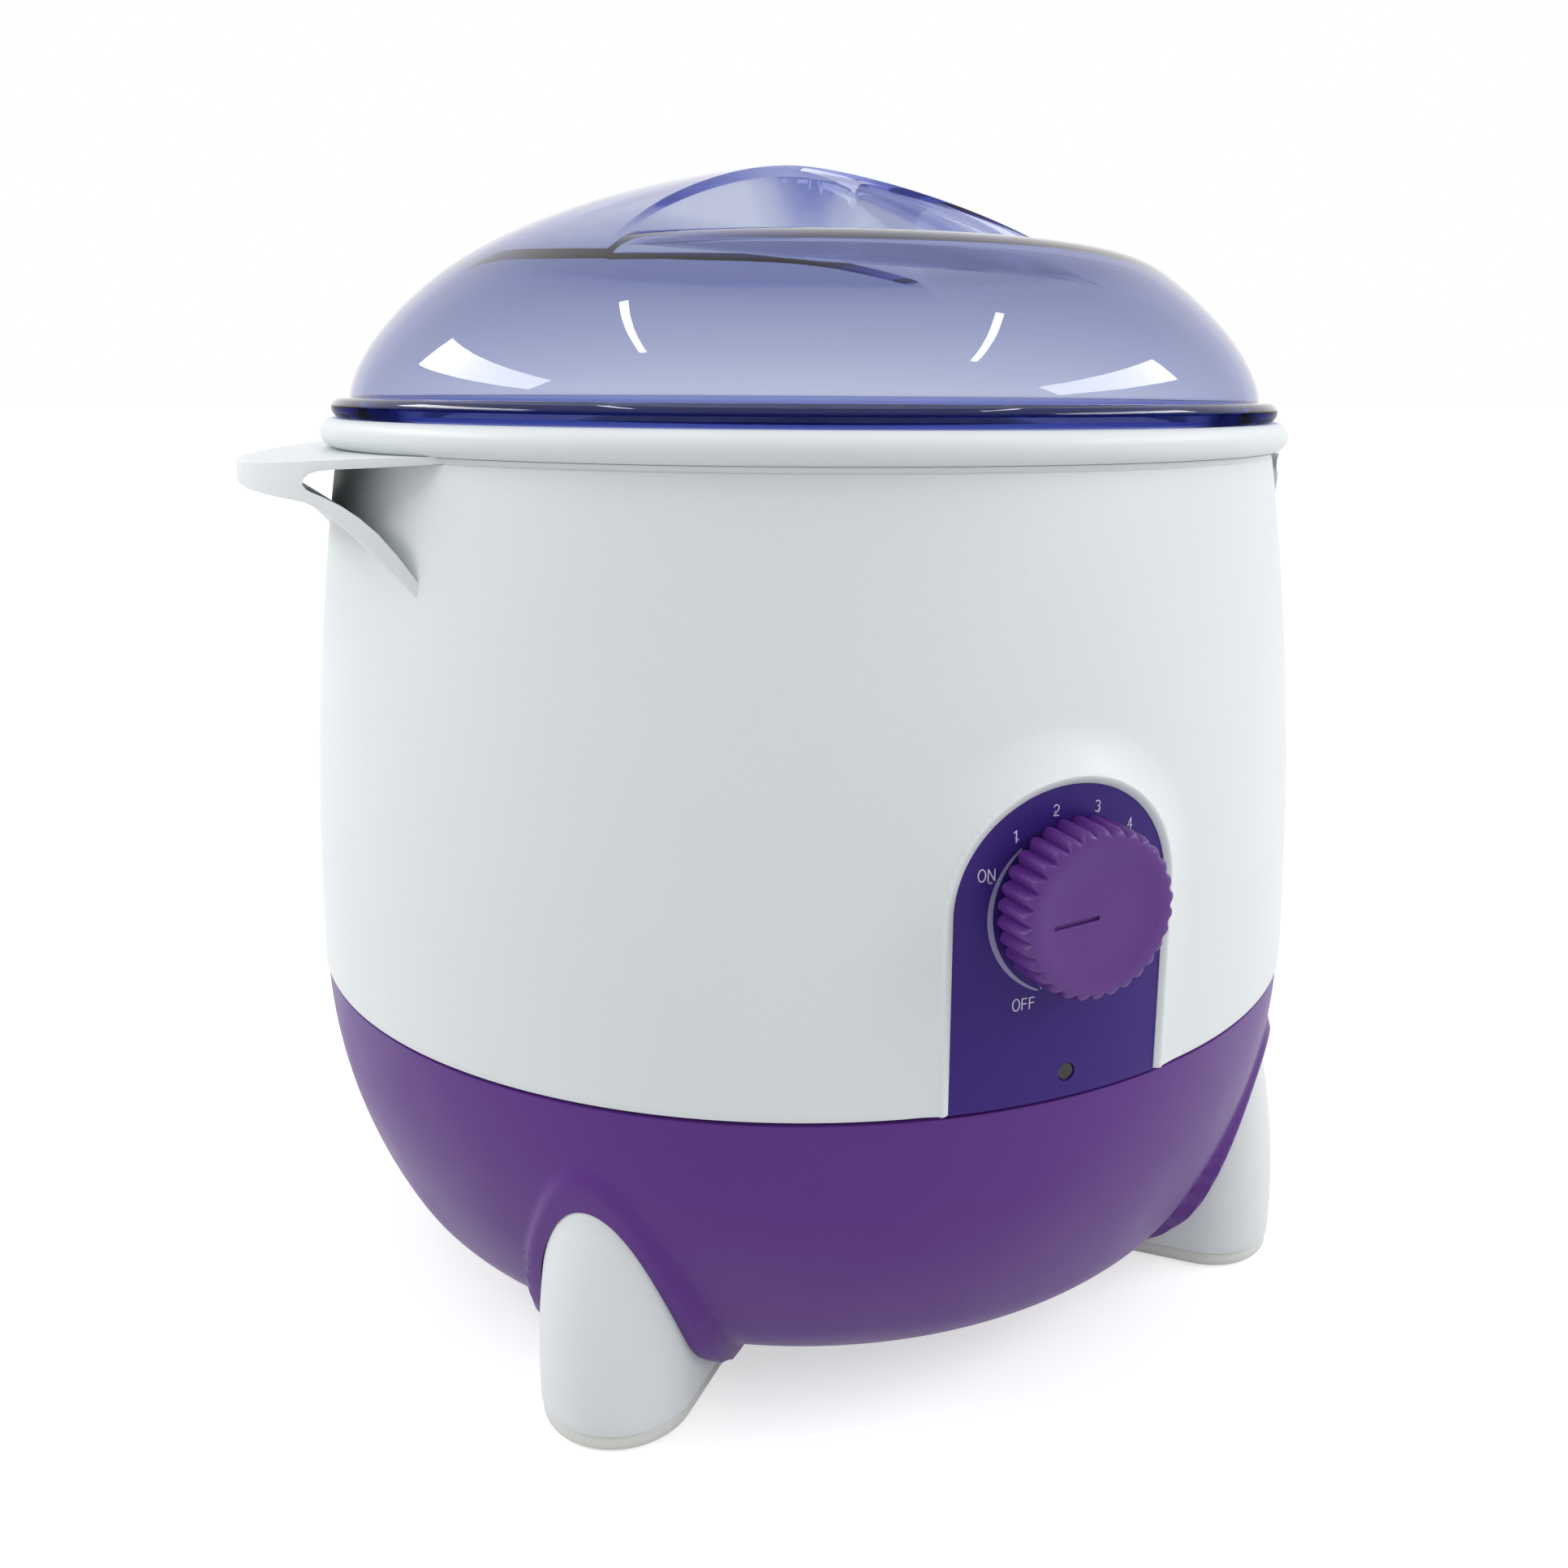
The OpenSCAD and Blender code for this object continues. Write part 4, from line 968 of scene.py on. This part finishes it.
STROKE = 0.09
GLYPHS = {
    "O": (0.62, [ellipse(0.31, 0.5, 0.31, 0.5, 0, 360, 32)]),
    "N": (0.56, [[(0, 0), (0, 1)], [(0, 1), (0.56, 0)], [(0.56, 0), (0.56, 1)]]),
    "F": (0.46, [[(0, 0), (0, 1)], [(0, 0.97), (0.46, 0.97)], [(0, 0.52), (0.42, 0.52)]]),
    "1": (0.24, [[(0, 0.78), (0.24, 1)], [(0.24, 1.03), (0.24, 0)]]),
    "2": (0.54, [ellipse(0.27, 0.72, 0.26, 0.28, 165, -40, 14) + [(0.02, 0.03)], [(0, 0.03), (0.54, 0.03)]]),
    "3": (0.54, [ellipse(0.27, 0.75, 0.24, 0.25, 150, -90, 14), ellipse(0.27, 0.26, 0.26, 0.26, 90, -150, 14)]),
    "4": (0.56, [[(0.38, 1), (0, 0.3), (0.56, 0.3)], [(0.38, 1.03), (0.38, 0)]]),
}
LETTER_GAP = 0.22


def printed_word(name, text, x, z, height):
    """A plain digit or switch word printed on the dial plate, drawn with strokes of one width."""
    total = sum(GLYPHS[letter][0] for letter in text) + LETTER_GAP * (len(text) - 1)
    pen = -total / 2
    word = None
    for letter in text:
        width, strokes = GLYPHS[letter]
        glyph = None
        for stroke in strokes:
            points = [(x + (pen + px) * height, z + (pz - 0.5) * height) for px, pz in stroke]
            part = flat_strip(name, points, [STROKE * height] * len(points))
            if glyph:
                cut(glyph, part, "UNION")
            else:
                glyph = part
        pen += width + LETTER_GAP
        if word:
            pick(word)
            glyph.select_set(True)
            bpy.ops.object.join()
        else:
            word = glyph
    wrap_on_plate(word.data)
    edit_all(word)
    close_and_face_out()
    done(word, PRINT, "warmer", (), 30)


TICKS = {"off": 252, "on": 163, "one": 132, "two": 103, "three": 71, "four": 40}
WORDS = (("off", "OFF", -8.2, -17.8, 2.1), ("on", "ON", -15.9, 6.0, 2.1), ("one", "1", -11.0, 12.2, 2.1),
         ("two", "2", -3.4, 16.0, 1.9), ("three", "3", 4.9, 15.8, 1.9), ("four", "4", 12.2, 11.7, 1.9))


def dial_print():
    for label, angle in TICKS.items():
        a = math.radians(angle)
        ends = [(r * MM * math.cos(a), DIAL_Z + r * MM * math.sin(a)) for r in (15.5, 16.3)]
        tick = flat_strip("dial_tick_" + label, ends, [0.4 * MM] * 2)
        wrap_on_plate(tick.data)
        done(tick, MARKS, "warmer", (), 30)
    centre = (-0.5 * MM, DIAL_Z - 1.7 * MM)
    sweep = [math.radians(250 - 122 * i / 28) for i in range(29)]
    widths = [(0.3 + 0.7 * math.sin(math.pi * i / 28)) * MM for i in range(29)]
    points = [(centre[0] + (15.0 * MM - w / 2) * math.cos(a), centre[1] + (15.0 * MM - w / 2) * math.sin(a))
              for a, w in zip(sweep, widths)]
    crescent = flat_strip("dial_crescent", points, widths)
    wrap_on_plate(crescent.data)
    done(crescent, MARKS, "warmer", (), 30)
    for label, text, x, dz, height in WORDS:
        printed_word("dial_word_" + label, text, x * MM, DIAL_Z + dz * MM, height * MM)


lid_piece()
wall_piece()
panel_rim_piece()
ear_piece("ear_right", 1)
ear_piece("ear_left", -1)
ring_piece()
bowl_piece()
leg_pieces()
knob_piece()
dial_print()


# ---- camera, floor and light ----------------------------------------------------

LENS = 33.04
LENS_SHIFT = (-0.0258, -0.0461)
CAMERA_PLACE = (-0.1349, -0.3023, 0.1890)
HEADING, PITCH, ROLL = math.radians(24.829), math.radians(12.70), 0.00627
FLOOR_GREY = 0.60
FLOOR_GLOW = 0.56
ROOM_LIGHT = 0.80
SOFTBOX_H, SOFTBOX_RADIANCE = 0.24, 10.0
TUBE_H, TUBE_RADIANCE = 0.035, 22.0
LID_MIDDLE = Vector((0, 0, 0.16))


def add_camera():
    data = bpy.data.cameras.new("camera")
    camera = bpy.data.objects.new("camera", data)
    bpy.context.scene.collection.objects.link(camera)
    data.sensor_width = 36
    data.lens = LENS
    data.shift_x, data.shift_y = LENS_SHIFT
    data.clip_start = 0.01
    camera.matrix_world = (Matrix.Translation(CAMERA_PLACE)
                           @ Matrix.Rotation(-HEADING, 4, "Z")
                           @ Matrix.Rotation(math.pi / 2 - PITCH, 4, "X")
                           @ Matrix.Rotation(ROLL, 4, "Z"))
    bpy.context.scene.camera = camera


def add_floor():
    clear_selection()
    bpy.ops.mesh.primitive_plane_add(size=30, location=(0, 0, 0))
    floor = bpy.context.object
    floor.name = "floor"
    finish = Finish("floor_paper", (FLOOR_GREY,) * 3, 0.9)
    rays = finish.add("ShaderNodeLightPath")
    seen = Value(finish, rays.outputs["Is Camera Ray"]).most(Value(finish, rays.outputs["Is Glossy Ray"]))
    seen = seen.most(Value(finish, rays.outputs["Is Transmission Ray"]))
    finish.shader.inputs["Emission Color"].default_value = (1, 1, 1, 1)
    finish.feed("Emission Strength", seen * FLOOR_GLOW)
    floor.data.materials.append(finish.material)


def add_world():
    world = bpy.data.worlds.new("studio")
    bpy.context.scene.world = world
    world.use_nodes = True
    tree = world.node_tree
    tree.nodes.clear()
    out = tree.nodes.new("ShaderNodeOutputWorld")
    light = tree.nodes.new("ShaderNodeBackground")
    light.inputs["Color"].default_value = (1, 1, 1, 1)
    light.inputs["Strength"].default_value = ROOM_LIGHT
    shown = tree.nodes.new("ShaderNodeBackground")
    shown.inputs["Color"].default_value = (1, 1, 1, 1)
    shown.inputs["Strength"].default_value = 1.0
    rays = tree.nodes.new("ShaderNodeLightPath")
    either = rays.outputs["Is Camera Ray"]
    for kind in ("Is Glossy Ray", "Is Transmission Ray"):
        most = tree.nodes.new("ShaderNodeMath")
        most.operation = "MAXIMUM"
        tree.links.new(either, most.inputs[0])
        tree.links.new(rays.outputs[kind], most.inputs[1])
        either = most.outputs[0]
    choose = tree.nodes.new("ShaderNodeMixShader")
    tree.links.new(either, choose.inputs[0])
    tree.links.new(light.outputs[0], choose.inputs[1])
    tree.links.new(shown.outputs[0], choose.inputs[2])
    tree.links.new(choose.outputs[0], out.inputs[0])


def soft_light(name, start, end, height, radiance):
    """A flat lamp whose long middle line runs from start to end and which faces the lid."""
    start, end = Vector(start), Vector(end)
    place = (start + end) / 2
    along = (end - start).normalized()
    back = (place - LID_MIDDLE).normalized()
    back = (back - back.dot(along) * along).normalized()
    data = bpy.data.lights.new(name, "AREA")
    data.shape = "RECTANGLE"
    data.size, data.size_y = (end - start).length, height
    data.energy = radiance * math.pi * data.size * data.size_y
    lamp = bpy.data.objects.new(name, data)
    bpy.context.scene.collection.objects.link(lamp)
    turn = Matrix((along, back.cross(along), back)).transposed().to_4x4()
    lamp.matrix_world = Matrix.Translation(place) @ turn
    return lamp


def add_lights():
    soft_light("softbox_left", (-0.80, 0.93, 0.84), (-1.32, 0.02, 0.82), SOFTBOX_H, SOFTBOX_RADIANCE)
    soft_light("softbox_right", (1.26, -0.20, 0.84), (0.80, -1.12, 0.80), SOFTBOX_H, SOFTBOX_RADIANCE)
    soft_light("tube_left", (-0.52, 0.38, 1.45), (-0.86, -0.19, 1.34), TUBE_H, TUBE_RADIANCE)
    soft_light("tube_right", (0.65, -0.22, 1.43), (0.435, -0.85, 1.28), TUBE_H, TUBE_RADIANCE)


add_camera()
add_floor()
add_world()
add_lights()
bpy.context.scene.view_settings.view_transform = "Standard"
